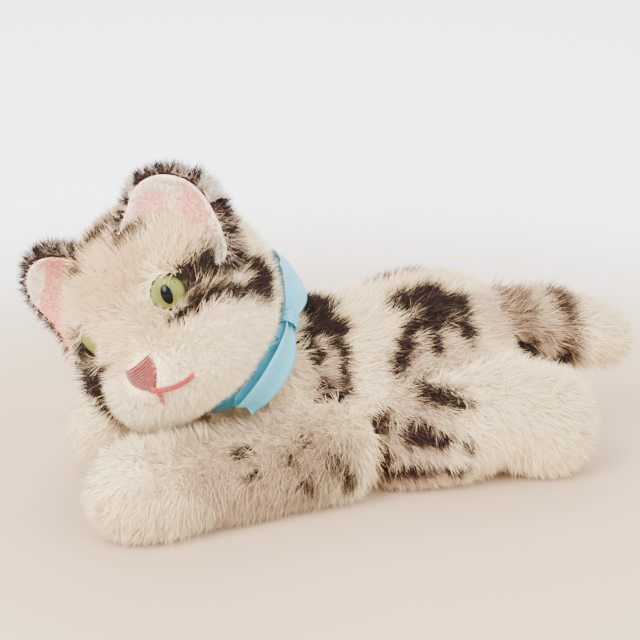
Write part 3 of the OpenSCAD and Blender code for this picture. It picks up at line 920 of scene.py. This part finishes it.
def dress_head(mesh):
    """Sets the head's pile under its cover, combs it away from the nose and gives it its markings."""
    eyes = [eye_frame(side).inverted() for side in (-1, 1)]
    rows = {key: [] for key in ("stripe", "tan", "pile", "comb", "open", "muzzle", "x")}
    moves = []
    for v in mesh.vertices:
        point, normal = v.co.copy(), v.normal.copy()
        local = (TO_HEAD @ point) / MM
        folded = Vector((abs(local.x), local.y, local.z))
        neck = TO_NECK @ point
        off_axis = math.hypot(neck.x, neck.y)
        muzzle = on_muzzle(local)
        pile = sizes().head_pile * (1 - muzzle) + sizes().muzzle_pile * muzzle
        pile *= 1 + 0.1 * noise.noise(point * 90)
        free = 1.0
        if neck.z < 6 * MM and off_axis < HEAD_NECK_RADIUS:
            free *= smoothstep(2 * MM, 5.5 * MM, neck.z)
        eye_gap, brow = round_eyes(point, eyes)
        free *= smoothstep(4.9, 5.4, eye_gap)
        pile *= 0.6 + 0.4 * max(smoothstep(5.5, 8.5, eye_gap), 0.6 * brow)
        if local.y < -20:
            nose_gap = math.hypot((local.x + 1.2) / 6.6, (local.z + 8.6) / 5.1)
            free *= smoothstep(0.8, 1.0, nose_gap)
            pile *= 0.5 + 0.5 * smoothstep(0.9, 2.0, nose_gap)
            mouth_gap = abs(local.z + 13.6 + 0.2 * local.x) if 0 < local.x < 15 else 9
            pile *= 0.55 + 0.45 * smoothstep(0.3, 2.2, mouth_gap)
        way = Vector((local.x, local.y + 34, local.z + 8)).normalized()
        way = (HEAD_FRAME.to_3x3() @ way) * (0.75 - 0.58 * muzzle) * (1 - 1.7 * brow)
        way -= NECK_AXIS * 1.5 * (1 - smoothstep(4 * MM, 12 * MM, neck.z)) * (off_axis > 18 * MM)
        cheek = max(marked(folded, HEAD_STRIPES), marked(local, RIGHT_CHEEK))
        puff = 1 + 0.7 * smoothstep(16, 22, -local.x) * (1 - smoothstep(-1, 5, local.z)) * (1 - muzzle)
        puff += 0.45 * marked(folded, EAR_PUFF, 0.0)
        rows["stripe"].append(cheek * (1 - 0.9 * muzzle))
        rows["tan"].append(marked(folded, MUZZLE_TAN if muzzle > 0.5 else HEAD_TAN, 0.2, 0.1))
        rows["pile"].append(pile * puff)
        rows["comb"].append(tangent(way, normal))
        rows["open"].append(free)
        rows["muzzle"].append(muzzle)
        rows["x"].append(local.x)
        drop = pile * (0.8 + 0.12 * muzzle) - PILE_PROUD - 0.4 * MM * noise.noise(point * 70)
        shallow = smoothstep(0, 6 * MM, neck.z) if off_axis < HEAD_NECK_RADIUS else 1
        drop *= smoothstep(5.6, 7.5, eye_gap) * shallow
        moves.append(point - normal * drop)
    for v, to in zip(mesh.vertices, moves):
        v.co = to
    give_coat(mesh, rows)
    return rows


class PLUSHCAT_OT_head(bpy.types.Operator):
    """Make the head with its muzzle and pile"""

    bl_idname = "plushcat.head"
    bl_label = "Head"

    def execute(self, context):
        mesh = skin("head_skin", HEAD_NODES, sizes().skin_voxel, 4)
        rows = dress_head(mesh)
        c = colours()
        coat = mohair("Head mohair", c.cream, c.apricot, c.stripe)
        short = mohair("Muzzle pile", c.muzzle, c.muzzle_warm, c.stripe)
        locks = locks_for(5)
        forehead = [1 - smoothstep(8, 10, abs(x)) for x in rows["x"]]
        panels = {
            "head_pile_left": [(1 - f) * (x > 0) for f, x in zip(forehead, rows["x"])],
            "head_pile_right": [(1 - f) * (x <= 0) for f, x in zip(forehead, rows["x"])],
            "head_pile_middle": forehead,
        }
        for i, (name, share) in enumerate(panels.items()):
            growth = [
                density(o, s * (1 - m) * 1.1) for o, s, m in zip(rows["open"], share, rows["muzzle"])
            ]
            grow(name, mesh, growth, locks, 71 + 5 * i, 0.5, "head", "head_mohair", coat)
        growth = [density(o, m * 2.1) for o, m in zip(rows["open"], rows["muzzle"])]
        grow("muzzle_pile", mesh, growth, locks, 97, 0.4, "head", "muzzle_plush", short)
        drop_locks(locks)
        fill(mesh, 0.5, 0.28)
        SKINS["head"] = tree_of(mesh)
        made = piece("head_skin", mesh, "head", "head_mohair", coat, HEAD_NODES)
        mesh.shade_smooth()
        return {"FINISHED"}


def dress_ear(mesh, side, layer, covered):
    """Gives an ear's back its brush-like pile, or its lining its sheared pile and airbrushed pink, which on
    the right ear also covers the lower lining as painted shade.
    """
    to_ear = ear_frame(side).inverted()
    rows = {key: [] for key in ("stripe", "tan", "pile", "comb", "growth")}
    for v in mesh.vertices:
        ear = (to_ear @ v.co) / MM
        normal = (to_ear.to_3x3() @ v.normal).normalized()
        inward = (EAR_CUP - ear).normalized().dot(normal)
        out = ear_frame(side).to_3x3() @ Vector((ear.x, 0, ear.z - 12)).normalized()
        if layer == "back":
            hidden = covered.find_nearest(v.co, 0.55 * MM)[0] is not None and inward > 0.3
            rows["stripe"].append((0.7 if side > 0 else 0.9) + 0.85 * noise.noise(v.co * 300))
            rows["tan"].append(0.2)
            rows["pile"].append(sizes().ear_pile * (0.85 + 0.45 * smoothstep(2, 12, ear.x)))
            rows["comb"].append(tangent(out * (0.45 + 1.1 * smoothstep(-0.5, 0.2, inward)), v.normal))
            rows["growth"].append(density(0.0 if hidden else 1.0, 1.5))
        else:
            # On the right ear the pink covers the whole lining below 25 mm: its own airbrushed pink, spread
            # further as painted shade for the shade that ear lies in.
            blush_and_painted_shade = max(marked(ear, EAR_BLUSH, 0.5, 0.2), 1.0 if side < 0 and ear.z < 25 else 0.0)
            blush_and_painted_shade *= smoothstep(6, 12, ear.z)
            rows["stripe"].append(0.0)
            rows["tan"].append(blush_and_painted_shade * (1 - 0.5 * smoothstep(24, 30, ear.z)))
            rows["pile"].append(sizes().lining_pile * (1 + 1.2 * (1 - smoothstep(8, 15, ear.z))))
            rows["comb"].append(tangent(out * 0.9, v.normal))
            rows["growth"].append(density(smoothstep(0.4, 0.7, inward), 3.2))
    give_coat(mesh, rows)
    return rows["growth"]


class PLUSHCAT_OT_ears(bpy.types.Operator):
    """Make the cupped ears with brush-like backs and sheared linings"""

    bl_idname = "plushcat.ears"
    bl_label = "Ears"

    def execute(self, context):
        c = colours()
        back_coat = mohair("Ear back pile", c.ear_back, c.tan, c.stripe, 0.75)
        lining_coat = mohair("Ear lining pile", c.ear_cream, c.ear_pink, c.stripe)
        layers = (("back", back_coat, "ear_mohair", 0.3), ("lining", lining_coat, "ear_felt", 0.6))
        locks = locks_for(8)
        for side, word in SIDES:
            inner = skin(f"ear_{word}_inner", [f"ear_{word}_lining"], EAR_VOXEL, 3)
            covered = tree_of(inner)
            bpy.data.meshes.remove(inner)
            for layer, coat, slot, tip in layers:
                node = f"ear_{word}_{layer}"
                mesh = skin(node + "_skin", [node], EAR_VOXEL, 3)
                growth = dress_ear(mesh, side, layer, covered)
                seed = 131 + side + len(layer)
                grow(node + "_pile", mesh, growth, locks, seed, 0.45, "head", slot, coat)
                fill(mesh, 0.3, tip)
                piece(node + "_skin", mesh, "head", slot, coat, (node,))
                mesh.shade_smooth()
        drop_locks(locks)
        return {"FINISHED"}


# ---------------------------------------------------------------- eyes and fittings


def eye_glass():
    """Green glass with a fibrous iris and a slit pupil, laid out on the eye's own UV map."""
    c = colours()
    m = Shades(
        "Eye glass", 0.4, Coat_Weight=0.15, Coat_Roughness=0.02, Coat_IOR=1.45, Specular_IOR_Level=0.0
    )
    apart = m.tree.nodes.new("ShaderNodeSeparateXYZ")
    m.put(apart.inputs[0], m.uv())
    across = m.sum("SUBTRACT", apart.outputs[0], 0.5)
    upward = m.sum("SUBTRACT", apart.outputs[1], 0.5)
    ring = m.sum("SQRT", m.sum("ADD", m.sum("POWER", across, 2.0), m.sum("POWER", upward, 2.0)))
    fibres = m.noise(1.0, 4, m.stretched(m.uv(), (40, 14, 1)), 0.6)
    iris = m.mix(m.between(ring, 0.12, 0.4), tuple(c.iris), tuple(c.iris_light))
    darker = m.mix(1.0, iris, (0.7, 0.75, 0.5), "MULTIPLY")
    iris = m.mix(m.between(fibres, 0.35, 0.75, 0.0, 0.35), iris, darker)
    iris = m.mix(m.between(ring, 0.4, 0.47), iris, (0.02, 0.025, 0.01))
    slit_x = m.sum("POWER", m.sum("ABSOLUTE", m.sum("DIVIDE", across, 0.155)), 1.8)
    slit_y = m.sum("POWER", m.sum("ABSOLUTE", m.sum("DIVIDE", upward, 0.29)), 1.9)
    slit = m.sum("ADD", slit_x, slit_y)
    return m.base(m.mix(m.between(slit, 0.85, 1.0), (0.003, 0.003, 0.003), iris))


def eye_dome(name, side):
    """A dome of glass with a flat back, in its place on the head."""
    bm = bmesh.new()
    bm.loops.layers.uv.new("UVMap")
    bmesh.ops.create_uvsphere(bm, u_segments=64, v_segments=40, radius=EYE_RADIUS)
    below = bmesh.ops.bisect_plane(
        bm, geom=bm.verts[:] + bm.edges[:] + bm.faces[:], dist=1e-7, plane_co=(0, 0, -1.6 * MM),
        plane_no=(0, 0, 1), clear_inner=True,
    )
    rim = [g for g in below["geom_cut"] if isinstance(g, bmesh.types.BMEdge)]
    bmesh.ops.contextual_create(bm, geom=rim)
    for v in bm.verts:
        off = math.hypot(v.co.x, v.co.y) / EYE_RADIUS
        if v.co.z > 0:
            v.co.z += 0.35 * MM * (1 - smoothstep(0.0, 0.6, off))
    uv = bm.loops.layers.uv.active
    roll = Matrix.Rotation(math.radians(side * EYE_ROLL), 3, "Z")
    for f in bm.faces:
        for loop in f.loops:
            seen = roll @ loop.vert.co / EYE_RADIUS / 2
            loop[uv].uv = (0.5 + seen.x, 0.5 + seen.y)
    bmesh.ops.translate(bm, verts=bm.verts, vec=(0, 0, -EYE_SUNK[side]))
    bmesh.ops.transform(bm, matrix=eye_frame(side), verts=bm.verts)
    return to_mesh(bm, name)


class PLUSHCAT_OT_eyes(bpy.types.Operator):
    """Make the glass eyes with slit pupils"""

    bl_idname = "plushcat.eyes"
    bl_label = "Eyes"

    def execute(self, context):
        glass = eye_glass()
        for side, word in SIDES:
            mesh = eye_dome(f"eye_{word}_glass", side)
            piece(mesh.name, mesh, "head", "eye_glass", glass, (f"eye_{word}",))
            mesh.shade_smooth()
        return {"FINISHED"}


class PLUSHCAT_OT_fittings(bpy.types.Operator):
    """Finish the eyes' wire shanks and the neck joint's washers, pin and board discs"""

    bl_idname = "plushcat.fittings"
    bl_label = "Shanks and neck joint"

    def execute(self, context):
        wire = Shades("Steel wire", 0.35, Metallic=1.0)
        wire.bump(wire.noise(2200, 2), 0.2, 0.0002)
        wire.base(wire.mix(wire.noise(900, 3), (0.45, 0.44, 0.42), (0.62, 0.61, 0.6)))
        board = Shades("Pressed board", 0.85)
        board.bump(board.noise(1400, 4), 0.4, 0.0003)
        board.base(board.mix(board.noise(700, 5), (0.16, 0.09, 0.045), (0.3, 0.19, 0.1)))
        for name, node in frame["nodes"].items():
            if name.endswith("shank") or "washer" in name or "pin" in name:
                finish = wire.material
            elif name.startswith("neck_disc"):
                finish = board.material
            else:
                continue
            node.data.materials.clear()
            node.data.materials.append(finish)
        return {"FINISHED"}


# ---------------------------------------------------------------- nose, mouth and whiskers


def on_face(x, z, proud):
    """The place on the head's skin that lies behind x, z of the face, in world metres."""
    start = HEAD_FRAME @ (Vector((x, -60, z)) * MM)
    way = HEAD_FRAME.to_3x3() @ Vector((0, 1, 0))
    hit = SKINS["head"].ray_cast(start, way)
    if hit[0] is None:
        raise RuntimeError(f"no skin behind {x}, {z}")
    return hit[0] - way * proud


def threads(name, runs, radius, resolution=2):
    """Round tubes along runs of (points, radii) as one mesh."""
    curve = bpy.data.curves.new(name, "CURVE")
    curve.dimensions = "3D"
    curve.bevel_depth = radius
    curve.bevel_resolution = resolution
    curve.use_fill_caps = True
    for points, widths in runs:
        spline = curve.splines.new("POLY")
        spline.points.add(len(points) - 1)
        for entry, point, width in zip(spline.points, points, widths):
            entry.co = (*point, 1)
            entry.radius = width
    return finished(link(name, curve))


def cotton(name, tint):
    """Faded embroidery cotton with a few dark spots."""
    m = Shades(name, 0.55, Sheen_Weight=0.3, Specular_IOR_Level=0.35)
    worn = m.between(m.noise(900, 3), 0.45, 0.75)
    spots = m.between(m.noise(700, 1), 0.68, 0.74)
    base = m.mix(worn, tuple(tint), m.mix(0.12, tuple(tint), (0.8, 0.4, 0.3)))
    m.bump(m.noise(5200, 2), 0.5, 0.0002)
    return m.base(m.mix(spots, base, (0.16, 0.07, 0.06)))


def nose_runs():
    """Satin stitches across the nose, and the upright ones under them that pad it."""
    rng = random.Random(21)
    rows = 12
    steps = 8
    runs = []
    for i in range(rows):
        t = i / (rows - 1)
        z = -4.6 - 8.2 * t
        right = 4.2 - 2.2 * t + 2.2 * math.sin(math.pi * t)
        left = -7.6 + 0.6 * t + 6.0 * t ** 3
        points = []
        for k in range(steps + 1):
            s = k / steps * 2 - 1
            rise = 1.9 * MM * (1 - s ** 4) + rng.uniform(0, 0.12) * MM
            droop = 0.5 * s * s
            points.append(on_face(left + (right - left) * (s + 1) / 2, z + droop, rise - 0.2 * MM))
        runs.append((points, [0.9] + [1.25] * (steps - 1) + [0.9]))
    for k in range(7):
        x = -3.9 + 1.3 * k
        low = -10.8 + 1.1 * abs(x)
        points = [
            on_face(x * (1 - 0.35 * j / 4) - 1.6, -5.2 + (low + 5) * j / 4, 0.9 * MM) for j in range(5)
        ]
        runs.append((points, [1.6] * 5))
    return runs


def mouth_runs():
    """Threads side by side along each line of the mouth, thinner toward its end."""
    runs = []
    for (x0, z0), (x1, z1), strands in MOUTH_LINES:
        wide = abs(x1 - x0) > 3
        for s in range(strands):
            shift = (s - (strands - 1) / 2) * 0.42
            points = []
            for k in range(9):
                t = k / 8
                sag = 1.1 * math.sin(math.pi * t) if wide else 0
                x = x0 + (x1 - x0) * t + shift * (0.3 if wide else 1)
                z = z0 + (z1 - z0) * t - sag + shift * (1 if wide else 0)
                points.append(on_face(x, z, (1.4 + 0.3 * math.sin(math.pi * t)) * MM))
            runs.append((points, [1.5, 1.35, 1.2, 1.1, 1.0, 0.95, 0.9, 0.8, 0.55]))
    return runs


class PLUSHCAT_OT_stitches(bpy.types.Operator):
    """Make the satin-stitched nose and the stitched mouth"""

    bl_idname = "plushcat.stitches"
    bl_label = "Nose and mouth"

    def execute(self, context):
        c = colours()
        for name, runs, tint in (("nose", nose_runs(), c.nose), ("mouth", mouth_runs(), c.mouth)):
            mesh = threads(name + "_thread", runs, sizes().thread)
            finish = cotton(name.title() + " cotton", tint)
            piece(mesh.name, mesh, "head", "embroidery_cotton", finish, (name + "_stitching",))
            mesh.shade_smooth()
        return {"FINISHED"}


class PLUSHCAT_OT_whiskers(bpy.types.Operator):
    """Make four thin, bowed whiskers on each side of the muzzle"""

    bl_idname = "plushcat.whiskers"
    bl_label = "Whiskers"

    def execute(self, context):
        m = Shades("Whisker nylon", 0.3, Specular_IOR_Level=0.5)
        m.base(m.mix(m.noise(600, 2), tuple(colours().whisker), (0.42, 0.24, 0.09)))
        rng = random.Random(31)
        steps = [k / 14 for k in range(15)]
        for side, word, lean, sweep in ((1, "left", 62, 16), (-1, "right", 75, 0)):
            runs = []
            for i in range(4):
                way = (
                    Matrix.Rotation(math.radians(side * sweep), 3, "Z")
                    @ Matrix.Rotation(math.radians(side * (lean + 7 * i)), 3, "Y")
                    @ Vector((0, 0, 1))
                )
                root = Vector((side * 13, -30.0, -8 - 1.6 * i))
                bow = Vector((0, -1.5, -1.4)) * rng.uniform(2.2, 4.6)
                size = sizes().whisker_length / MM * rng.uniform(0.9, 1.04)
                points = [HEAD_FRAME @ ((root + way * size * t + bow * t * t) * MM) for t in steps]
                runs.append((points, [1 - 0.75 * t for t in steps]))
            mesh = threads(f"whiskers_{word}_bristle", runs, sizes().whisker, 1)
            piece(mesh.name, mesh, "head", "whisker_nylon", m.material, (f"whiskers_{word}",))
            mesh.shade_smooth()
        return {"FINISHED"}


# ---------------------------------------------------------------- ribbon, in mm of the neck's frame


def round_neck(radius, angle, z):
    """A place by its distance from the neck axis, its angle from the left toward the nape and its height."""
    a = math.radians(angle)
    return Vector((radius * math.cos(a), radius * math.sin(a), z))


def route(*places):
    """Places round the neck, each given as round_neck takes it."""
    return [round_neck(*place) for place in places]


def through(entries, t):
    """A smooth run through the entries, at t from 0 to 1."""
    spot = t * (len(entries) - 1)
    i = min(int(spot), len(entries) - 2)
    f = spot - i
    a, b = entries[max(i - 1, 0)], entries[i]
    c, d = entries[i + 1], entries[min(i + 2, len(entries) - 1)]
    square = 2 * a - 5 * b + 4 * c - d
    cube = 3 * b - a - 3 * c + d
    return 0.5 * (2 * b + (c - a) * f + square * f * f + cube * f ** 3)


def satin_strip(name, path, across, widths, steps, crease=0.0, waves=3, jagged=0.0, closed=False):
    """A ribbon that runs along path, lies along across and is as wide as widths."""
    cells = 12
    bm = bmesh.new()
    uv = bm.loops.layers.uv.new("UVMap")
    bmesh.ops.create_grid(bm, x_segments=steps, y_segments=cells, size=0.5, calc_uvs=True)
    run = 0
    for k in range(60):
        run += (through(path, (k + 1) / 60) - through(path, k / 60)).length
    for f in bm.faces:
        for loop in f.loops:
            loop[uv].uv = ((loop.vert.co.x + 0.5) * run / 10, (loop.vert.co.y + 0.5) * 1.1)
    for v in bm.verts:
        t = min(1.0, max(0.0, v.co.x + 0.5))
        s = v.co.y * 2
        if jagged and t > 0.999:
            t -= jagged * (0.5 + 0.5 * math.cos(s * cells * math.pi / 2 * 1.001))
        step = 0.004
        along = through(path, min(1, t + step)) - through(path, max(0, t - step))
        lie = through(across, t).normalized()
        face = along.cross(lie).normalized()
        wave = crease * math.cos(s * math.pi * waves / 2 + 0.8 * math.sin(5 * t))
        v.co = through(path, t) + lie * s * through(widths, t) / 2 + face * wave
    if closed:
        bmesh.ops.remove_doubles(bm, verts=bm.verts, dist=0.03)
    bmesh.ops.scale(bm, verts=bm.verts, vec=(MM, MM, MM))
    bmesh.ops.transform(bm, matrix=NECK_FRAME, verts=bm.verts)
    made = link(name, to_mesh(bm, name))
    wall = made.modifiers.new("Solidify", "SOLIDIFY")
    wall.thickness = sizes().ribbon_thickness
    wall.offset = 0
    mesh = finished(made)
    mesh.shade_smooth()
    return mesh


def loop_path(centres, halves):
    """Out along the outer side of a bow loop, round its end and back along its inner side."""
    out = []
    back = []
    for centre, half in zip(centres, halves):
        away = Vector((centre.x, centre.y, 0)).normalized()
        out.append(centre + away * half)
        back.append(centre - away * half)
    end = centres[-1] + (centres[-1] - centres[-2]).normalized() * halves[-1]
    return out + [end] + back[::-1]


def mirrored(entries, end):
    """The entries, the end and the entries again from last to first."""
    return list(entries) + [end] + list(entries)[::-1]


def ribbon_satin():
    """Light blue satin with fine ribs along the ribbon's own UV map."""
    m = Shades(
        "Ribbon satin", 0.36, Sheen_Weight=0.15, Specular_IOR_Level=0.5, Anisotropic=0.6, Coat_Weight=0.1,
        Coat_Roughness=0.3,
    )
    tint = tuple(colours().ribbon)
    weave = m.tree.nodes.new("ShaderNodeTexWave")
    m.put(weave.inputs["Vector"], m.uv())
    weave.bands_direction = "X"
    m.set(weave, Scale=14.0, Distortion=0.4)
    soft = m.between(m.noise(260, 3), 0.3, 0.7)
    m.bump(weave.outputs["Fac"], 0.18, 0.00006)
    return m.base(m.mix(soft, tint, m.mix(1.0, tint, (0.84, 0.9, 0.92), "MULTIPLY")))


def neck_band():
    """The creased band round the neck, which closes on itself."""
    turn = route(*((21.9, 360 * k / 16, 0) for k in range(17)))
    level = [Vector((0, 0, 1)) + round_neck(0.12, 360 * k / 16, 0) for k in range(17)]
    level[-1] = level[0]
    widths = [7.6 + 0.5 * math.sin(k * 2.1) for k in range(16)]
    widths.append(widths[0])
    return satin_strip("neck_band", turn, level, widths, 120, 0.55, 5, closed=True)


def upper_loop():
    """The bow's loop that runs from the knot toward the nape and rises."""
    up = route(
        (25.0, 50, 0), (25.6, 58, 0), (26.2, 69, 0.4), (27.2, 80, 1.4), (28.8, 90, 3.0), (30.4, 98, 5.0)
    )
    path = loop_path(up, [0.5, 1.1, 1.9, 2.3, 2.1, 1.3])
    across = [Vector((-0.1, 0.05, 1))] * 3 + [Vector((-0.15, 0.12, 1))] * 3
    widths = mirrored([4.2, 7.0, 10.2, 10.6, 8.8, 6.0], 4.6)
    lie = mirrored(across, Vector((-0.15, 0.2, 1)))
    return satin_strip("bow_loop_upper", path, lie, widths, 90, 0.45, 3)


def lower_loop():
    """The bow's loop that runs from the knot toward the throat."""
    down = route(
        (25.4, 40, 0), (27.0, 30, -0.2), (28.4, 16, -0.6), (28.8, 0, -1), (28.6, -12, -1.2), (28.2, -22, -1.4)
    )
    path = loop_path(down, [0.5, 1.3, 2.0, 1.9, 1.5, 0.9])
    flare = [round_neck(0.42, a, 1) for a in (40, 30, 16, 0, -12, -22)]
    across = flare + [Vector((0, 0.1, 1))] + [Vector((0.05, 0, 1))] * 6
    widths = mirrored([4.2, 7.2, 10.4, 10.8, 9.8, 8.4], 8.0)
    return satin_strip("bow_loop_lower", path, across, widths, 90, 0.5, 2)


def outer_tail():
    """The ribbon's end that lies on top and turns over."""
    path = route((24.9, 42, 0), (25.4, 30, -1), (26.0, 20, -1), (26.4, 12, 1.2), (26.6, 6, 4.6))
    ways = ((0.1, 0, 1), (0.1, 0, 1), (0.2, 0.6, 0.8), (0, 1, 0.5), (-0.1, 1, 0.15))
    across = [Vector(way) for way in ways]
    return satin_strip("bow_tail_outer", path, across, [4.0, 7.0, 9.4, 11, 12], 50, 0.3, 2, jagged=0.05)


def inner_tail():
    """The ribbon's end that lies against the neck."""
    path = route((24.6, 41, 0), (24.9, 30, 1.2), (25.6, 17, 2.6), (26.2, 2, 3.6), (26.4, -13, 4.0))
    across = [Vector((0.15, 0, 1))] * 5
    return satin_strip("bow_tail_inner", path, across, [4.0, 7.0, 9.0, 9.6, 9.4], 60, 0.5, 3, jagged=0.05)


def bow_knot():
    """The creased wrap round the middle of the bow."""
    middle = round_neck(25.4, 45, 0)
    ring = []
    for k in range(13):
        a = math.radians(30 * k)
        bulge = 1 + 0.08 * math.sin(3 * a)
        ring.append(middle + round_neck(2.5 * math.cos(a) * bulge, 45, 3.1 * math.sin(a) * bulge))
    ring[-1] = ring[0]
    return satin_strip("bow_knot", ring, [round_neck(1, 135, 0)] * 13, [4.6] * 13, 48, 0.28, 5, closed=True)


class PLUSHCAT_OT_ribbon(bpy.types.Operator):
    """Make the satin ribbon: its band, knot, two loops and two tails"""

    bl_idname = "plushcat.ribbon"
    bl_label = "Ribbon"

    def execute(self, context):
        satin = ribbon_satin()
        for mesh, node in (
            (neck_band(), "ribbon_band"),
            (bow_knot(), "ribbon_knot"),
            (upper_loop(), "ribbon_loop_upper"),
            (lower_loop(), "ribbon_loop_lower"),
            (outer_tail(), "ribbon_tails"),
            (inner_tail(), "ribbon_tails"),
        ):
            piece(mesh.name, mesh, "body", "ribbon_satin", satin, (node,))
        return {"FINISHED"}


# ---------------------------------------------------------------- stage


def pale_floor():
    """A round floor that is warm close to the cat and pale further off."""
    bm = bmesh.new()
    bmesh.ops.create_circle(bm, cap_ends=True, segments=96, radius=3)
    mesh = to_mesh(bm, "floor")
    m = Shades("Pale floor", 0.7, Specular_IOR_Level=0.2)
    from_middle = m.tree.nodes.new("ShaderNodeVectorMath")
    from_middle.operation = "LENGTH"
    m.put(from_middle.inputs[0], m.place())
    far = m.between(from_middle.outputs["Value"], 0.13, 0.32)
    mesh.materials.append(m.base(m.mix(far, tuple(colours().floor), tuple(colours().far_floor))))
    link("floor", mesh)


def soft_light(scene, aim):
    """A bright, faintly blue surround and three round lamps turned to aim."""
    world = bpy.data.worlds.new("Studio")
    world.use_nodes = True
    surround = world.node_tree.nodes["Background"]
    surround.inputs["Color"].default_value = (0.95, 0.97, 1.0, 1)
    surround.inputs["Strength"].default_value = 2.9
    scene.world = world
    for name, place, power, size in (
        ("key", (0.45, -0.75, 0.85), 37, 0.6),
        ("fill", (0.9, 0.5, 0.7), 16, 0.9),
        ("back", (-0.6, 0.2, 0.8), 12, 0.8),
    ):
        light = bpy.data.lights.new(name, "AREA")
        light.shape = "DISK"
        light.size = size
        light.energy = power
        lamp = bpy.data.objects.new(name, light)
        lamp.location = place
        lamp.rotation_euler = (aim - Vector(place)).to_track_quat("-Z", "Y").to_euler()
        scene.collection.objects.link(lamp)


def side_camera(scene, aim):
    """A camera that looks at aim from the cat's left, somewhat in front and above."""
    azimuth = math.radians(VIEW_AZIMUTH)
    elevation = math.radians(VIEW_ELEVATION)
    level = math.cos(elevation)
    way = Vector((math.sin(azimuth) * level, -math.cos(azimuth) * level, math.sin(elevation)))
    camera = bpy.data.objects.new("camera", bpy.data.cameras.new("camera"))
    camera.location = aim + way * VIEW_DISTANCE
    camera.rotation_euler = (-way).to_track_quat("-Z", "Y").to_euler()
    camera.data.sensor_width = 36
    camera.data.lens = 36 * VIEW_DISTANCE / VIEW_WIDTH
    camera.data.clip_start = 0.01
    camera.data.clip_end = 20
    scene.collection.objects.link(camera)
    scene.camera = camera


class PLUSHCAT_OT_stage(bpy.types.Operator):
    """Make the pale floor, the soft light and the camera"""

    bl_idname = "plushcat.stage"
    bl_label = "Stage"

    def execute(self, context):
        aim = Vector((MIDDLE_X, -5.8 * MM, 50 * MM))
        pale_floor()
        soft_light(context.scene, aim)
        side_camera(context.scene, aim)
        return {"FINISHED"}


# ---------------------------------------------------------------- panel and run


OPERATORS = (
    PLUSHCAT_OT_stage,
    PLUSHCAT_OT_body,
    PLUSHCAT_OT_head,
    PLUSHCAT_OT_ears,
    PLUSHCAT_OT_eyes,
    PLUSHCAT_OT_fittings,
    PLUSHCAT_OT_stitches,
    PLUSHCAT_OT_whiskers,
    PLUSHCAT_OT_ribbon,
)


class PLUSHCAT_PT_panel(bpy.types.Panel):
    """The cat's operators, sizes and colours in the sidebar"""

    bl_idname = "PLUSHCAT_PT_panel"
    bl_label = "Plush cat"
    bl_space_type = "VIEW_3D"
    bl_region_type = "UI"
    bl_category = "Plush cat"

    def draw(self, context):
        for operator in OPERATORS:
            self.layout.operator(operator.bl_idname)
        for group in (context.scene.plush_cat_sizes, context.scene.plush_cat_colours):
            for name in group.__annotations__:
                self.layout.prop(group, name)


CLASSES = (PlushCatSizes, PlushCatColours, *OPERATORS, PLUSHCAT_PT_panel)


def register():
    for entry in CLASSES:
        bpy.utils.register_class(entry)
    bpy.types.Scene.plush_cat_sizes = PointerProperty(type=PlushCatSizes)
    bpy.types.Scene.plush_cat_colours = PointerProperty(type=PlushCatColours)


def unregister():
    del bpy.types.Scene.plush_cat_colours
    del bpy.types.Scene.plush_cat_sizes
    for entry in reversed(CLASSES):
        bpy.utils.unregister_class(entry)


def main():
    """Registers the classes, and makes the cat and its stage."""
    register()
    for operator in OPERATORS:
        group, name = operator.bl_idname.split(".")
        result = getattr(getattr(bpy.ops, group), name)()
        if result != {"FINISHED"}:
            raise RuntimeError(f"{operator.bl_label} did not finish")


if __name__ == "__main__":
    main()
